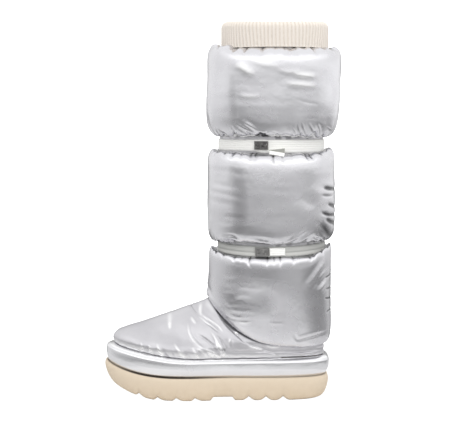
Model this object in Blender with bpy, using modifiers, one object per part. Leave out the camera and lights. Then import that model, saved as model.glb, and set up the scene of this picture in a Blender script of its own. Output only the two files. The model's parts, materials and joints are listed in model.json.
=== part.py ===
"""Tall padded winter boot for the left foot, made of separate solids.

The boot stands on its sole with the toe towards -Y, its outer side towards +X and +Z up.
Sizes are in millimetres. A point is worked out as (outward, forward, up): forward runs from the back of
the outsole towards the toe, outward from the boot's long axis to its outer side, and up from the floor.
"""

import math
from typing import NamedTuple

import bmesh
import bpy
import numpy as np

MM = 0.001
FIT_GAP = 0.3

# Driving dimensions
SOLE_LENGTH = 272.2
PLATFORM_UP = 51.9
JOINT_UP = 27.9
CUFF_TOP_UP = 446.7
UPPER_WALL = 3.0
INSOLE_THICK = 3.5
CUFF_WALL = 8.0
BACK_OVERHANG = 13.2
ORIGIN_FORWARD = (SOLE_LENGTH - BACK_OVERHANG) / 2

# The foot's plan: where it is narrowest and widest, and how the left foot's outline turns
WAIST_SHARE = 0.42
BALL_SHARE = 0.72
WAIST_SPREAD = 0.16
INNER_PINCH = 0.16
OUTER_PINCH = 0.04
TOE_TURN = -7.0

# Points round a ring of the upper, an even number so that each ring has a back and a front point
AROUND = 44


class Ring(NamedTuple):
    """One closed ring of the upper, from its back point to its front point."""

    back: float
    back_up: float
    front: float
    front_up: float
    heel_half: float
    ball_half: float
    back_blunt: float
    front_blunt: float
    rise: float
    bend: float


UPPER_RINGS = {
    "feather edge": Ring(4.7, 52.2, 256.9, 64.6, 38.5, 46.0, 3.0, 2.5, 4.0, 1.0),
    "toe bulge": Ring(3.7, 55.4, 261.5, 71.1, 40.0, 48.0, 2.9, 2.5, 3.4, 1.0),
    "toe crown": Ring(3.7, 57.5, 257.0, 77.2, 40.2, 46.5, 2.8, 2.5, 3.2, 0.95),
    "toe top": Ring(3.8, 59.0, 243.6, 82.8, 40.2, 44.0, 2.7, 2.5, 3.1, 0.9),
    "low vamp": Ring(3.9, 60.5, 222.4, 88.9, 40.2, 41.5, 2.6, 2.5, 3.1, 0.8),
    "mid vamp": Ring(4.1, 62.1, 197.3, 97.3, 40.2, 40.5, 2.5, 2.5, 3.2, 0.65),
    "high vamp": Ring(4.5, 63.6, 172.2, 106.5, 40.2, 40.2, 2.5, 2.4, 3.4, 0.5),
    "gaiter edge": Ring(4.9, 65.1, 145.0, 118.5, 40.2, 40.2, 2.4, 2.2, 3.7, 0.35),
    "instep": Ring(5.4, 78.9, 135.0, 130.7, 40.6, 40.6, 2.3, 2.1, 3.0, 0.2),
    "ankle": Ring(6.7, 100.3, 133.0, 145.8, 43.0, 43.0, 2.1, 2.0, 2.3, 0.1),
    "above ankle": Ring(7.6, 132.7, 132.4, 158.9, 49.0, 49.0, 2.0, 2.0, 1.6, 0.0),
    "ankle seam": Ring(6.3, 175.0, 132.3, 175.0, 54.0, 54.0, 2.0, 2.0, 1.0, 0.0),
    "calf low seam": Ring(6.4, 190.0, 132.1, 190.0, 54.0, 54.0, 2.0, 2.0, 1.0, 0.0),
    "calf high seam": Ring(8.2, 296.4, 131.6, 296.4, 54.0, 54.0, 2.0, 2.0, 1.0, 0.0),
    "top low seam": Ring(8.2, 314.2, 131.3, 314.2, 54.0, 54.0, 2.0, 2.0, 1.0, 0.0),
    "collar": Ring(4.6, 418.0, 127.2, 418.0, 54.0, 54.0, 2.0, 2.0, 1.0, 0.0),
}


class Puff(NamedTuple):
    """A stuffed ring of the shaft, sewn down along two rings of the upper."""

    low_seam: str
    top_seam: str
    front_thick: float
    back_thick: float
    side_thick: float
    corner_thick: float
    low_hem: float
    top_hem: float
    low_square: float
    side_dip: float
    low_front_lip: float
    low_back_lip: float
    top_front_lip: float
    top_back_lip: float


PUFFS = {
    "puff_ankle": Puff(
        "gaiter edge", "ankle seam", 13.0, 10.4, 12.0, 3.0, 2.2, 3.0, 2.2, 3.0, 0.0, 0.0, 8.0, 15.5
    ),
    "puff_calf": Puff(
        "calf low seam", "calf high seam", 14.7, 14.4, 13.0, 5.0, 3.0, 3.0, 3.2, 7.0, 3.0, 0.0, 6.0, 6.0
    ),
    "puff_top": Puff(
        "top low seam", "collar", 18.6, 19.0, 16.5, 6.0, 3.0, 4.0, 2.7, 7.0, -2.5, 0.0, 8.5, 4.0
    ),
}
TOP_SQUARE = 4.0
PUFF_FOLDS = 11


class Edge(NamedTuple):
    """One step of a sole's side: its height share and how far its outline is drawn in."""

    height: float
    back_in: float
    front_in: float
    side_in: float


class Plan(NamedTuple):
    """The widest outline of a sole piece."""

    back: float
    front: float
    heel_half: float
    ball_half: float


SOLE_BACK_BLUNT = 3.6
SOLE_FRONT_BLUNT = 2.45
OUTSOLE_PLAN = Plan(0.0, SOLE_LENGTH, 45.0, 53.5)
OUTSOLE_SIDE = (
    Edge(0.0, 12.0, 14.0, 6.5),
    Edge(0.06, 8.0, 9.0, 4.0),
    Edge(0.16, 5.2, 6.0, 2.6),
    Edge(0.32, 2.8, 3.2, 1.4),
    Edge(0.55, 0.9, 0.9, 0.4),
    Edge(0.76, 0.0, 0.0, 0.0),
    Edge(0.93, 0.8, 0.8, 0.6),
    Edge(1.0, 2.8, 2.8, 2.4),
)
MIDSOLE_PLAN = Plan(-0.9, 270.3, 45.0, 53.0)
MIDSOLE_SIDE = (
    Edge(0.0, 5.0, 2.4, 4.2),
    Edge(0.2, 3.2, 1.5, 2.8),
    Edge(0.42, 1.2, 0.6, 1.2),
    Edge(0.63, 0.0, 0.0, 0.0),
    Edge(0.76, 0.3, 0.6, 0.3),
    Edge(0.86, 1.1, 2.0, 1.4),
    Edge(0.94, 2.4, 4.6, 3.4),
    Edge(1.0, 4.5, 8.5, 6.5),
)
INSOLE_INSET = UPPER_WALL + 0.9
SOLE_STATIONS = 22

# Toe spring: where the curve starts, how far it rises at the toe, and how sharply
FLOOR_SPRING = (205.7, 20.2, 1.7)
JOINT_SPRING = (185.0, 15.8, 2.4)
PLATFORM_SPRING = (161.3, 15.8, 1.6)

# Tread: cross notches between the lugs, and the raised arch
class Notches(NamedTuple):
    """A row of equal cross notches: the first one's place, their pitch and count, how far each runs towards
    the toe and towards the heel, and its depth."""

    first: float
    pitch: float
    count: int
    toe_run: float
    heel_run: float
    depth: float

    def centres(self):
        return [self.first + self.pitch * step for step in range(self.count)]


NOTCH_ROWS = (Notches(161.4, 22.5, 4, 5.0, 10.0, 3.7), Notches(55.9, 20.5, 3, 8.5, 8.5, 4.9))
NOTCH_POWER = 1.8
NOTCH_CLEAR = 3.0
ARCH_FROM = 112.9
ARCH_TO = 143.1
ARCH_DEPTH = 4.2
ARCH_SLOPE = 4.0

STRAP_THICK = 2.0
STRAP_GAP = 0.8
STRAPS = {"lower": ("ankle seam", "calf low seam"), "upper": ("calf high seam", "top low seam")}
BUCKLE_FORWARD = 82.0
BUCKLE_SIZE = (3.0, 16.4, 9.8)
BUCKLE_WINDOW = (0.7, 12.6, 6.0)
BUCKLE_BEVEL = 0.8
STRAP_END_SIZE = (1.6, 19.0, 9.2)
STRAP_END_BEVEL = 0.5
# How the end of each strap stands: its turn about its length and its droop, in degrees, how far it stands off
# the strap and how far it hangs below the strap's middle
STRAP_END_STANCE = {"lower": (0.0, 0.0, 0.3, 0.0), "upper": (20.0, 3.0, 3.2, 4.5)}

CUFF_RING = Ring(1.7, 418.3, 130.1, 418.3, 57.0, 57.0, 2.0, 2.0, 1.0, 0.0)
CUFF_OUTER_ROUND = 7.0
CUFF_INNER_ROUND = 1.0
CUFF_ROUND_STEPS = 4


class Finish(NamedTuple):
    """The plain finish of a piece."""

    colour: tuple
    roughness: float
    metallic: float


FINISHES = {
    "silver foil cloth": Finish((0.72, 0.72, 0.74), 0.3, 0.85),
    "cream foam": Finish((0.76, 0.64, 0.46), 0.7, 0.0),
    "cream knit": Finish((0.87, 0.82, 0.73), 0.9, 0.0),
    "cream webbing": Finish((0.8, 0.79, 0.74), 0.8, 0.0),
    "pewter": Finish((0.32, 0.32, 0.33), 0.35, 1.0),
}


def smooth_step(value):
    """A curve that rises smoothly from 0 to 1 as value does."""
    value = np.clip(value, 0.0, 1.0)
    return value * value * (3.0 - 2.0 * value)


def spring_up(forward, spring):
    """How far a sole's surface has risen towards the toe."""
    start, height, power = spring
    return height * np.clip((forward - start) / (SOLE_LENGTH - start), 0.0, None) ** power


def platform_up(forward):
    return PLATFORM_UP + spring_up(forward, PLATFORM_SPRING)


def joint_up(forward):
    return JOINT_UP + spring_up(forward, JOINT_SPRING)


def tread_up(forward):
    """The outsole's underside: flat lugs on the floor, notches, raised arch and toe spring."""
    up = spring_up(forward, FLOOR_SPRING)
    for row in NOTCH_ROWS:
        for centre in row.centres():
            run = np.where(forward > centre, row.toe_run, row.heel_run)
            inside = np.clip(1.0 - np.abs(forward - centre) / run, 0.0, 1.0)
            up = up + row.depth * inside**NOTCH_POWER
    inside_arch = np.minimum(forward - ARCH_FROM, ARCH_TO - forward)
    return up + ARCH_DEPTH * np.clip(inside_arch / ARCH_SLOPE, 0.0, 1.0)


def even_shares(count):
    """Shares of a ring's length from back to front, closer together towards both ends."""
    return (1.0 - np.cos(np.linspace(0.0, math.pi, count + 1))) / 2.0


def outline(plan, shares, back_blunt, front_blunt, bend):
    """A foot-shaped outline as (outward, forward) pairs: along the outer side from back to front, then back
    along the inner side. Bend is the share of a left foot's curve that the outline has."""
    blunt = np.where(shares < 0.5, back_blunt, front_blunt)
    ends = np.clip(1.0 - np.abs(2.0 * shares - 1.0) ** blunt, 0.0, 1.0) ** (1.0 / blunt)
    widen = smooth_step((shares - WAIST_SHARE) / (BALL_SHARE - WAIST_SHARE))
    half = ends * (plan.heel_half + (plan.ball_half - plan.heel_half) * widen)
    pinch = bend * np.exp(-(((shares - WAIST_SHARE) / WAIST_SPREAD) ** 2))
    centre = bend * TOE_TURN * smooth_step((shares - WAIST_SHARE) / (1.0 - WAIST_SHARE))
    forward = plan.back + (plan.front - plan.back) * shares
    outer = np.column_stack([centre + half * (1.0 - OUTER_PINCH * pinch), forward])
    inner = np.column_stack([centre - half * (1.0 - INNER_PINCH * pinch), forward])
    return np.vstack([outer, inner[-2:0:-1]])


def mirrored(shares):
    """Shares for each point of an outline, out along one side and back along the other."""
    return np.concatenate([shares, shares[-2:0:-1]])


def ring_points(ring, shares):
    """The points of one ring of the upper as (outward, forward, up)."""
    plan = Plan(ring.back, ring.front, ring.heel_half, ring.ball_half)
    flat = outline(plan, shares, ring.back_blunt, ring.front_blunt, ring.bend)
    up = ring.back_up + (ring.front_up - ring.back_up) * mirrored(shares) ** ring.rise
    return np.column_stack([flat, up])


def upper_grid():
    """The upper's outer surface, a row of points for each ring, the lowest following the platform."""
    shares = even_shares(AROUND // 2)
    grid = np.array([ring_points(ring, shares) for ring in UPPER_RINGS.values()])
    grid[0, :, 2] = platform_up(grid[0, :, 1]) + FIT_GAP
    return grid


def grid_normals(grid):
    """Outward directions at each point of a grid of rings."""
    around = np.roll(grid, -1, axis=1) - np.roll(grid, 1, axis=1)
    along = np.gradient(grid, axis=0)
    normals = np.cross(around, along)
    normals /= np.linalg.norm(normals, axis=2, keepdims=True)
    middle = grid.mean(axis=1, keepdims=True)
    inward = ((grid - middle)[:, :, :2] * normals[:, :, :2]).sum(axis=2).mean() < 0.0
    return -normals if inward else normals


def place(points):
    """Points as (outward, forward, up) in millimetres turned into scene points in metres."""
    outward, forward, up = np.asarray(points, float).T
    return np.column_stack([outward, ORIGIN_FORWARD - forward, up]) * MM


def finish_material(finish):
    """The Principled material of a plain finish."""
    material = bpy.data.materials.get(finish) or bpy.data.materials.new(finish)
    material.use_nodes = True
    shader = material.node_tree.nodes["Principled BSDF"]
    look = FINISHES[finish]
    shader.inputs["Base Color"].default_value = (*look.colour, 1.0)
    shader.inputs["Roughness"].default_value = look.roughness
    shader.inputs["Metallic"].default_value = look.metallic
    return material


def add_object(name, mesh, finish, collection):
    """A named object with its finish, smooth where it is round."""
    mesh.shade_smooth()
    mesh.set_sharp_from_angle(angle=math.radians(40.0))
    mesh.materials.append(finish_material(finish))
    made = bpy.data.objects.new(name, mesh)
    collection.objects.link(made)
    return made


def loft_mesh(name, rings, closing):
    """A mesh through rings of equal point counts. Closing is "caps" for a solid with strips across its two
    ends, "ring" for a section carried round into itself, or "open" for a bare surface."""
    rings = np.asarray(rings)
    count, around = rings.shape[:2]
    shape = bmesh.new()
    corners = [[shape.verts.new(point) for point in place(ring)] for ring in rings]
    pairs = count if closing == "ring" else count - 1
    for low in range(pairs):
        below, above = corners[low], corners[(low + 1) % count]
        for here in range(around):
            after = (here + 1) % around
            shape.faces.new((below[here], above[here], above[after], below[after]))
    if closing == "caps":
        for end in (corners[0], corners[-1]):
            for here in range(around // 2):
                strip = (end[here], end[here + 1], end[-here - 1], end[-here])
                shape.faces.new(dict.fromkeys(strip))
    if closing != "open":
        bmesh.ops.recalc_face_normals(shape, faces=shape.faces)
    mesh = bpy.data.meshes.new(name)
    shape.to_mesh(mesh)
    shape.free()
    return mesh


def sole_rings(plan, side, shares, low_up, top_up):
    """The rings of a sole piece, from its underside to its top."""
    rings = []
    for edge in side:
        drawn_in = Plan(
            plan.back + edge.back_in,
            plan.front - edge.front_in,
            plan.heel_half - edge.side_in,
            plan.ball_half - edge.side_in,
        )
        flat = outline(drawn_in, shares, SOLE_BACK_BLUNT, SOLE_FRONT_BLUNT, 1.0)
        low, top = low_up(flat[:, 1]), top_up(flat[:, 1])
        rings.append(np.column_stack([flat, low + (top - low) * edge.height]))
    return rings


def tread_shares():
    """Shares along the outsole with a station at every corner of the tread."""
    back = OUTSOLE_PLAN.back + OUTSOLE_SIDE[0].back_in
    front = OUTSOLE_PLAN.front - OUTSOLE_SIDE[0].front_in
    corners = [ARCH_FROM, ARCH_FROM + ARCH_SLOPE, ARCH_TO - ARCH_SLOPE, ARCH_TO]
    for row in NOTCH_ROWS:
        for centre in row.centres():
            corners += [centre - row.heel_run * step for step in (1.0, 0.6, 0.25, 0.0)]
            corners += [centre + row.toe_run * step for step in (0.25, 0.6, 1.0)]
    fixed = (np.array(corners) - back) / (front - back)
    clear = NOTCH_CLEAR / (front - back)
    spare = [s for s in even_shares(SOLE_STATIONS) if np.abs(fixed - s).min() > clear]
    return np.sort(np.concatenate([fixed, spare]))


def build_sole(collection):
    """Outsole, wrapped midsole and insole, each a closed solid."""
    outsole = sole_rings(OUTSOLE_PLAN, OUTSOLE_SIDE, tread_shares(), tread_up, joint_up)
    add_object("outsole", loft_mesh("outsole", outsole, "caps"), "cream foam", collection)

    shares = even_shares(SOLE_STATIONS)
    midsole = sole_rings(
        MIDSOLE_PLAN, MIDSOLE_SIDE, shares, lambda forward: joint_up(forward) + FIT_GAP, platform_up
    )
    add_object("midsole", loft_mesh("midsole", midsole, "caps"), "silver foil cloth", collection)

    edge = UPPER_RINGS["feather edge"]
    board = Plan(
        edge.back + INSOLE_INSET,
        edge.front - INSOLE_INSET,
        edge.heel_half - INSOLE_INSET,
        edge.ball_half - INSOLE_INSET,
    )
    flat = outline(board, shares, edge.back_blunt, edge.front_blunt, edge.bend)
    floor = platform_up(flat[:, 1]) + FIT_GAP
    insole = [np.column_stack([flat, floor]), np.column_stack([flat, floor + INSOLE_THICK])]
    add_object("insole", loft_mesh("insole", insole, "caps"), "cream knit", collection)


def build_upper(grid, collection):
    """Foot and shaft as one hollow wall, open at the collar and underneath."""
    upper = add_object("upper", loft_mesh("upper", grid, "open"), "silver foil cloth", collection)
    wall = upper.modifiers.new("wall", "SOLIDIFY")
    wall.thickness = UPPER_WALL * MM
    wall.offset = -1.0
    wall.use_even_offset = True
    wall.use_rim = True


def puff_thickness(puff, shares):
    """How thick a puff is at each point round it: its own value in front, behind and at the sides, and more
    at the four corners between them."""
    fore = np.clip(2.0 * shares - 1.0, 0.0, None) ** 2
    rear = np.clip(1.0 - 2.0 * shares, 0.0, None) ** 2
    side = 1.0 - fore - rear
    corner = 4.0 * side * (fore + rear)
    return (
        puff.front_thick * fore + puff.back_thick * rear + puff.side_thick * side + puff.corner_thick * corner
    )


def between_rows(grid, row):
    """A ring part of the way between two rings of a grid."""
    low = min(int(row), len(grid) - 2)
    return grid[low] + (grid[low + 1] - grid[low]) * (row - low)


def up_columns(rows, values, share):
    """Values of a grid at a share of the length up each of its columns."""
    steps = np.linalg.norm(np.diff(rows, axis=0), axis=2)
    length = np.vstack([np.zeros(rows.shape[1]), np.cumsum(steps, axis=0)])
    length /= length[-1]
    found = np.empty(rows.shape[1:])
    for column in range(rows.shape[1]):
        for axis in range(3):
            found[column, axis] = np.interp(share, length[:, column], values[:, column, axis])
    return found


def puff_rings(puff, grid, normals):
    """A puff's section carried round the shaft: up its flat inner wall, and down its rounded outer face."""
    names = list(UPPER_RINGS)
    backed = slice(names.index(puff.low_seam), names.index(puff.top_seam) + 1)
    rows, looks = grid[backed], normals[backed]
    shares = mirrored(even_shares(AROUND // 2))
    thick = puff_thickness(puff, shares)
    fore = np.clip(2.0 * shares - 1.0, 0.0, None) ** 2
    rear = np.clip(1.0 - 2.0 * shares, 0.0, None) ** 2
    low_lip = puff.low_front_lip * fore + puff.low_back_lip * rear
    top_lip = puff.top_front_lip * fore + puff.top_back_lip * rear
    rings = list(rows + looks * FIT_GAP)
    for turn in np.linspace(math.pi / 2, -math.pi / 2, PUFF_FOLDS):
        upper_half = turn > 0
        hem, lip = (puff.top_hem, top_lip) if upper_half else (puff.low_hem, low_lip)
        square = TOP_SQUARE if upper_half else puff.low_square
        swell = max(math.cos(turn), 0.0) ** (2.0 / square)
        reach = math.copysign(abs(math.sin(turn)) ** (2.0 / square), turn)
        share = (1.0 + reach) / 2.0
        stand = hem + (thick - hem) * swell
        ring = up_columns(rows, rows, share) + up_columns(rows, looks, share) * stand[:, None]
        ring[:, 2] += lip * math.sin(2.0 * turn)
        if upper_half:
            ring[:, 2] -= puff.side_dip * reach**4 * (1.0 - fore - rear) * swell
        rings.append(ring)
    return rings


def build_puffs(grid, collection):
    """The three stuffed rings of the shaft."""
    normals = grid_normals(grid)
    for name, puff in PUFFS.items():
        mesh = loft_mesh(name, puff_rings(puff, grid, normals), "ring")
        add_object(name, mesh, "silver foil cloth", collection)


def build_cuff(collection):
    """The rib-knit cuff: a band that stands on the collar and is folded over at its top."""
    shares = even_shares(AROUND // 2)
    base = ring_points(CUFF_RING, shares)
    direction = grid_normals(np.array([base, base + [0.0, 0.0, 1.0]]))[0]
    section = [(-CUFF_WALL, CUFF_RING.back_up), (0.0, CUFF_RING.back_up)]
    outer_corner = (-CUFF_OUTER_ROUND, CUFF_OUTER_ROUND, 0.0)
    inner_corner = (CUFF_INNER_ROUND - CUFF_WALL, CUFF_INNER_ROUND, 90.0)
    for centre, radius, start in (outer_corner, inner_corner):
        for step in range(CUFF_ROUND_STEPS + 1):
            turn = math.radians(start + 90.0 * step / CUFF_ROUND_STEPS)
            section.append(
                (centre + radius * math.cos(turn), CUFF_TOP_UP - radius + radius * math.sin(turn))
            )
    rings = []
    for out, up in dict.fromkeys(section):
        ring = base + direction * out
        ring[:, 2] = up
        rings.append(ring)
    add_object("cuff", loft_mesh("cuff", rings, "ring"), "cream knit", collection)


def strap_levels(which):
    """The lowest and highest level of a strap's webbing, in its channel between two seams."""
    low, high = (UPPER_RINGS[seam].back_up for seam in STRAPS[which])
    return low + STRAP_GAP, high - STRAP_GAP


def strap_seat(which, forward):
    """A point on a strap's outer face on the boot's outer side, and the way that the face looks."""
    seam = UPPER_RINGS[STRAPS[which][0]]
    long_half = (seam.front - seam.back) / 2.0 + FIT_GAP + STRAP_THICK
    side_half = seam.heel_half + FIT_GAP + STRAP_THICK
    offset = forward - (seam.front + seam.back) / 2.0
    outward = side_half * math.sqrt(1.0 - (offset / long_half) ** 2)
    look = np.array([outward / side_half**2, offset / long_half**2])
    low, high = strap_levels(which)
    return np.array([outward, forward, (low + high) / 2.0]), look / np.linalg.norm(look)


def plate(name, size, bevel, finish, collection):
    """A flat plate with softened edges, centred on the origin with its thickness along X."""
    bpy.ops.mesh.primitive_cube_add(size=1.0)
    made = bpy.context.object
    made.name = made.data.name = name
    made.data.transform(np.diag([*(np.array(size) * MM), 1.0]))
    made.data.materials.append(finish_material(finish))
    soften = made.modifiers.new("edges", "BEVEL")
    soften.width = bevel * MM
    soften.segments = 2
    for holder in list(made.users_collection):
        holder.objects.unlink(made)
    collection.objects.link(made)
    return made


def seat_plate(made, point, look, stand_off, turn=0.0, droop=0.0):
    """Puts a plate on a strap, standing off it along its look, turned about its own length and drooping."""
    made.location = place([[*(point[:2] + look * stand_off), point[2]]])[0]
    made.rotation_mode = "ZYX"
    made.rotation_euler = (math.radians(droop), math.radians(turn), math.atan2(-look[1], look[0]))


def build_strap(which, grid, normals, collection, cutters):
    """One webbing strap round its channel, with its buckle and its loose end."""
    low, high = strap_levels(which)
    row = list(UPPER_RINGS).index(STRAPS[which][0])
    rings = []
    for out, up in ((0.0, low), (STRAP_THICK, low), (STRAP_THICK, high), (0.0, high)):
        share = (up - grid[row, 0, 2]) / (grid[row + 1, 0, 2] - grid[row, 0, 2])
        rings.append(between_rows(grid, row + share) + between_rows(normals, row + share) * (FIT_GAP + out))
    name = "strap_" + which
    add_object(name, loft_mesh(name, rings, "ring"), "cream webbing", collection)

    point, look = strap_seat(which, BUCKLE_FORWARD)
    stand_off = FIT_GAP + BUCKLE_SIZE[0] / 2.0
    buckle = plate("buckle_" + which, BUCKLE_SIZE, BUCKLE_BEVEL, "pewter", collection)
    seat_plate(buckle, point, look, stand_off)
    window = plate("buckle_window_" + which, BUCKLE_WINDOW, 0.1, "pewter", cutters)
    seat_plate(window, point, look, stand_off + BUCKLE_SIZE[0] / 2.0)
    window.display_type = "WIRE"
    window.hide_render = True
    sink = buckle.modifiers.new("window", "BOOLEAN")
    sink.operation = "DIFFERENCE"
    sink.object = window

    turn, droop, off, drop = STRAP_END_STANCE[which]
    beside = (BUCKLE_SIZE[1] + STRAP_END_SIZE[1]) / 2.0 + FIT_GAP
    point, look = strap_seat(which, BUCKLE_FORWARD - beside)
    point[2] -= drop
    end = plate("strap_end_" + which, STRAP_END_SIZE, STRAP_END_BEVEL, "cream webbing", collection)
    seat_plate(end, point, look, off + STRAP_END_SIZE[0] / 2.0, turn, droop)


def main():
    """Clears the scene and builds the boot."""
    for old in list(bpy.data.objects):
        bpy.data.objects.remove(old)
    boot = bpy.data.collections.new("tall_boot")
    cutters = bpy.data.collections.new("cutters")
    for collection in (boot, cutters):
        bpy.context.scene.collection.children.link(collection)

    grid = upper_grid()
    build_sole(boot)
    build_upper(grid, boot)
    build_puffs(grid, boot)
    normals = grid_normals(grid)
    for which in STRAPS:
        build_strap(which, grid, normals, boot, cutters)
    build_cuff(boot)


main()
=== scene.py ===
"""Looks of a tall padded winter boot for the left foot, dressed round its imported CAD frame.

The boot stands on its sole with the toe towards -Y, its outer side towards +X and +Z up. Shapes are worked
out in millimetres in that frame and put into the meshes in metres. A place on the boot's side is given as
(forward, up): forward runs from the back of the outsole towards the toe, and up from the floor.
"""

import json
import logging
import math
from dataclasses import dataclass, field
from enum import Enum, IntEnum

import bmesh
import bpy
import numpy as np
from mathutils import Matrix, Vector

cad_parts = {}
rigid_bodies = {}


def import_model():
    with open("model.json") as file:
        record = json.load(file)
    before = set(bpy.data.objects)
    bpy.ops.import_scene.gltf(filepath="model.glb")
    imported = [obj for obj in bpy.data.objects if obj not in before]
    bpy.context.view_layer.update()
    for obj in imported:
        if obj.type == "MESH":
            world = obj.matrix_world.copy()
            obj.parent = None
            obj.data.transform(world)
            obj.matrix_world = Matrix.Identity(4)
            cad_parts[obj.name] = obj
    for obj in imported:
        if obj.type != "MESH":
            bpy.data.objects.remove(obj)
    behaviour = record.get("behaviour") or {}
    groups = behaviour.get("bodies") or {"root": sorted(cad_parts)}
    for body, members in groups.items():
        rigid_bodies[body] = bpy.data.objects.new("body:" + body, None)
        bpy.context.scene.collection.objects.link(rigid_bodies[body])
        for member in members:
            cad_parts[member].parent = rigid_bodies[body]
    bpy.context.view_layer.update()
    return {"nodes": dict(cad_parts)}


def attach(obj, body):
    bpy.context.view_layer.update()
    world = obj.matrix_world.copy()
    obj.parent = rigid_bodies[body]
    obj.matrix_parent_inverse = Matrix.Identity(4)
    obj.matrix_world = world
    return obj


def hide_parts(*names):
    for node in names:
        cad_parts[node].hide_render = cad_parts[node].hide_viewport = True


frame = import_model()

LOG = logging.getLogger("tall_boot")
MM = 0.001
BODY = "root"
Array = np.ndarray
Socket = bpy.types.NodeSocket
Span = tuple[float, float]
Pairs = tuple[Span, ...]
Tone = Socket | str | tuple[float, ...]
# Distances in metres within which two points are one, and under which a face is a sliver, and a length
# that keeps a division from one by nothing
WELD = 1e-6
SLIVER = 1e-7
TINY = 1e-9
# Distance between the bands of Blender's wave texture at a scale of one
WAVE_PITCH = 0.314

# Driving sizes of the boot, the same as in its CAD source
SOLE_LENGTH = 272.2
ORIGIN_FORWARD = 129.5
PLATFORM_UP = 51.9
JOINT_UP = 27.9
CUFF_TOP_UP = 446.7
UPPER_WALL = 3.0
CUFF_WALL = 8.0
FIT_GAP = 0.3
# How far the upper presses into the wrapped platform at its heel and how much more at its toe, the
# forward places between which that grows, and the gap left there
FEATHER_PRESS = (0.8, 1.0)
FEATHER_SPAN = (50.0, 150.0)
FEATHER_GAP = 0.05
# Painted shade in the joint between outsole and midsole: its share at the heel, the forward places between
# which it grows to its full depth, the share lost at the toe, and the places between which that is lost
JOINT_HEEL_SHADE = 0.25
JOINT_DARK_SPAN = (110.0, 180.0)
JOINT_TOE_LOSS = 0.5
JOINT_TOE_SPAN = (225.0, 265.0)
# Width across the boot's middle over which the creases of one side give way to the other's
SIDE_BLEND = 8.0
# A crease's ends fade by a power of half a wave, which is cut off close to its zeros; its lips lie so
# many half widths off its path, and it is felt within so many
CREASE_FADE = 0.6
CREASE_ENDS = (0.02, 0.98)
CREASE_LIP_AT = 2.0
CREASE_REACH = 4.0
# The foot's plan: shares of its length at the waist and at the ball, how far the waist spreads, how far
# both sides are pinched there, and how far the toe turns inwards
WAIST_SHARE = 0.42
BALL_SHARE = 0.72
WAIST_SPREAD = 0.16
INNER_PINCH = 0.16
OUTER_PINCH = 0.04
TOE_TURN = -7.0


class Side(Enum):
    """Which side of the boot a crease lies on, as the sign of its outward place."""

    OUTER = 1
    INNER = -1


class Seed(IntEnum):
    """Seeds of the random reliefs; a puff uses the ten from its own on."""

    PLATFORM_RIPPLE = 11
    FOOT_GATHERS = 21
    FOOT_DIMPLES = 22
    INSTEP_FOLDS = 23
    CHANNEL_FOLDS = 24
    CUFF_STRAY = 31
    ANKLE_PUFF = 41
    CALF_PUFF = 42
    TOP_PUFF = 43
    BUCKLE_SPECKS = 51
    BUCKLE_GRAIN = 53
    BUCKLE_CLOUD = 54


class Closing(Enum):
    """How a grid of points is closed into a surface."""

    OPEN = "open"
    TUBE = "tube"
    RING = "ring"


@dataclass(frozen=True)
class Spring:
    """The rise of a sole surface towards the toe."""

    start: float
    height: float
    power: float

    def up(self, forward: Array) -> Array:
        """Height gained: the height times the share of the way from the start to the toe, to a power."""
        share = np.clip((forward - self.start) / (SOLE_LENGTH - self.start), 0.0, None)
        return self.height * share**self.power


FLOOR_SPRING = Spring(205.7, 20.2, 1.7)
JOINT_SPRING = Spring(185.0, 15.8, 2.4)
PLATFORM_SPRING = Spring(161.3, 15.8, 1.6)


def smooth_step(value: Array) -> Array:
    """A curve that rises smoothly from 0 to 1 as value does: 3v² - 2v³."""
    value = np.clip(value, 0.0, 1.0)
    return value * value * (3.0 - 2.0 * value)


def ramp(value: Array, span: Span) -> Array:
    """A smooth rise from 0 where the span starts to 1 where it ends."""
    return smooth_step((value - span[0]) / (span[1] - span[0]))


def bell(value: Array, width: float, power: int = 2) -> Array:
    """A bell round 0: e to minus a power of the value over its width."""
    return np.exp(-((value / width) ** power))


def forward_of(points: Array) -> Array:
    """Forward places of points in the boot's frame."""
    return ORIGIN_FORWARD - points[..., 1]


def side_share(points: Array, side: Side) -> Array:
    """How far points belong to one side of the boot: 1 there, 0 on the other, smooth across the middle."""
    return smooth_step(side.value * points[..., 0] / SIDE_BLEND + 0.5)


def round_steps(points: Array) -> Array:
    """Distance from each point of a grid of rings to the next one round its ring."""
    return np.linalg.norm(np.roll(points, -1, axis=1) - points, axis=2)


def up_steps(points: Array) -> Array:
    """Distance from each point of a grid to the one above it."""
    return np.linalg.norm(np.diff(points, axis=0), axis=2)


def linear_colour(code: str) -> tuple[float, float, float, float]:
    """An sRGB hex colour as linear red, green, blue and a full alpha.

    Args:
        code: Six hex digits after a number sign.

    Returns:
        The four linear values that a shader socket takes.
    """
    parts = np.array([int(code[i : i + 2], 16) for i in (1, 3, 5)]) / 255.0
    linear = np.where(parts <= 0.04045, parts / 12.92, ((parts + 0.055) / 1.055) ** 2.4)
    return (*linear.tolist(), 1.0)


def smooth_rows(table: Array, levels: Array) -> Array:
    """Rows of a table at fractional row numbers, by a cubic that never overshoots the rows it passes through.

    Each row's slope is the harmonic mean of the steps on both sides of it, or nothing where they differ in
    sign.

    Args:
        table: One row for each whole level.
        levels: The fractional row numbers.

    Returns:
        One row for each level asked for.
    """
    steps = np.diff(table, axis=0)
    slopes = np.zeros_like(table)
    slopes[0], slopes[-1] = steps[0], steps[-1]
    same = steps[:-1] * steps[1:] > 0.0
    total = np.where(same, steps[:-1] + steps[1:], 1.0)
    slopes[1:-1] = np.where(same, 2.0 * steps[:-1] * steps[1:] / total, 0.0)
    low = np.clip(np.floor(levels).astype(int), 0, len(table) - 2)
    t = (levels - low)[:, None]
    rise = t * t * (3.0 - 2.0 * t)
    return (
        table[low] * (1.0 - rise)
        + table[low + 1] * rise
        + slopes[low] * t * (1.0 - t) ** 2
        - slopes[low + 1] * t * t * (1.0 - t)
    )


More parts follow.
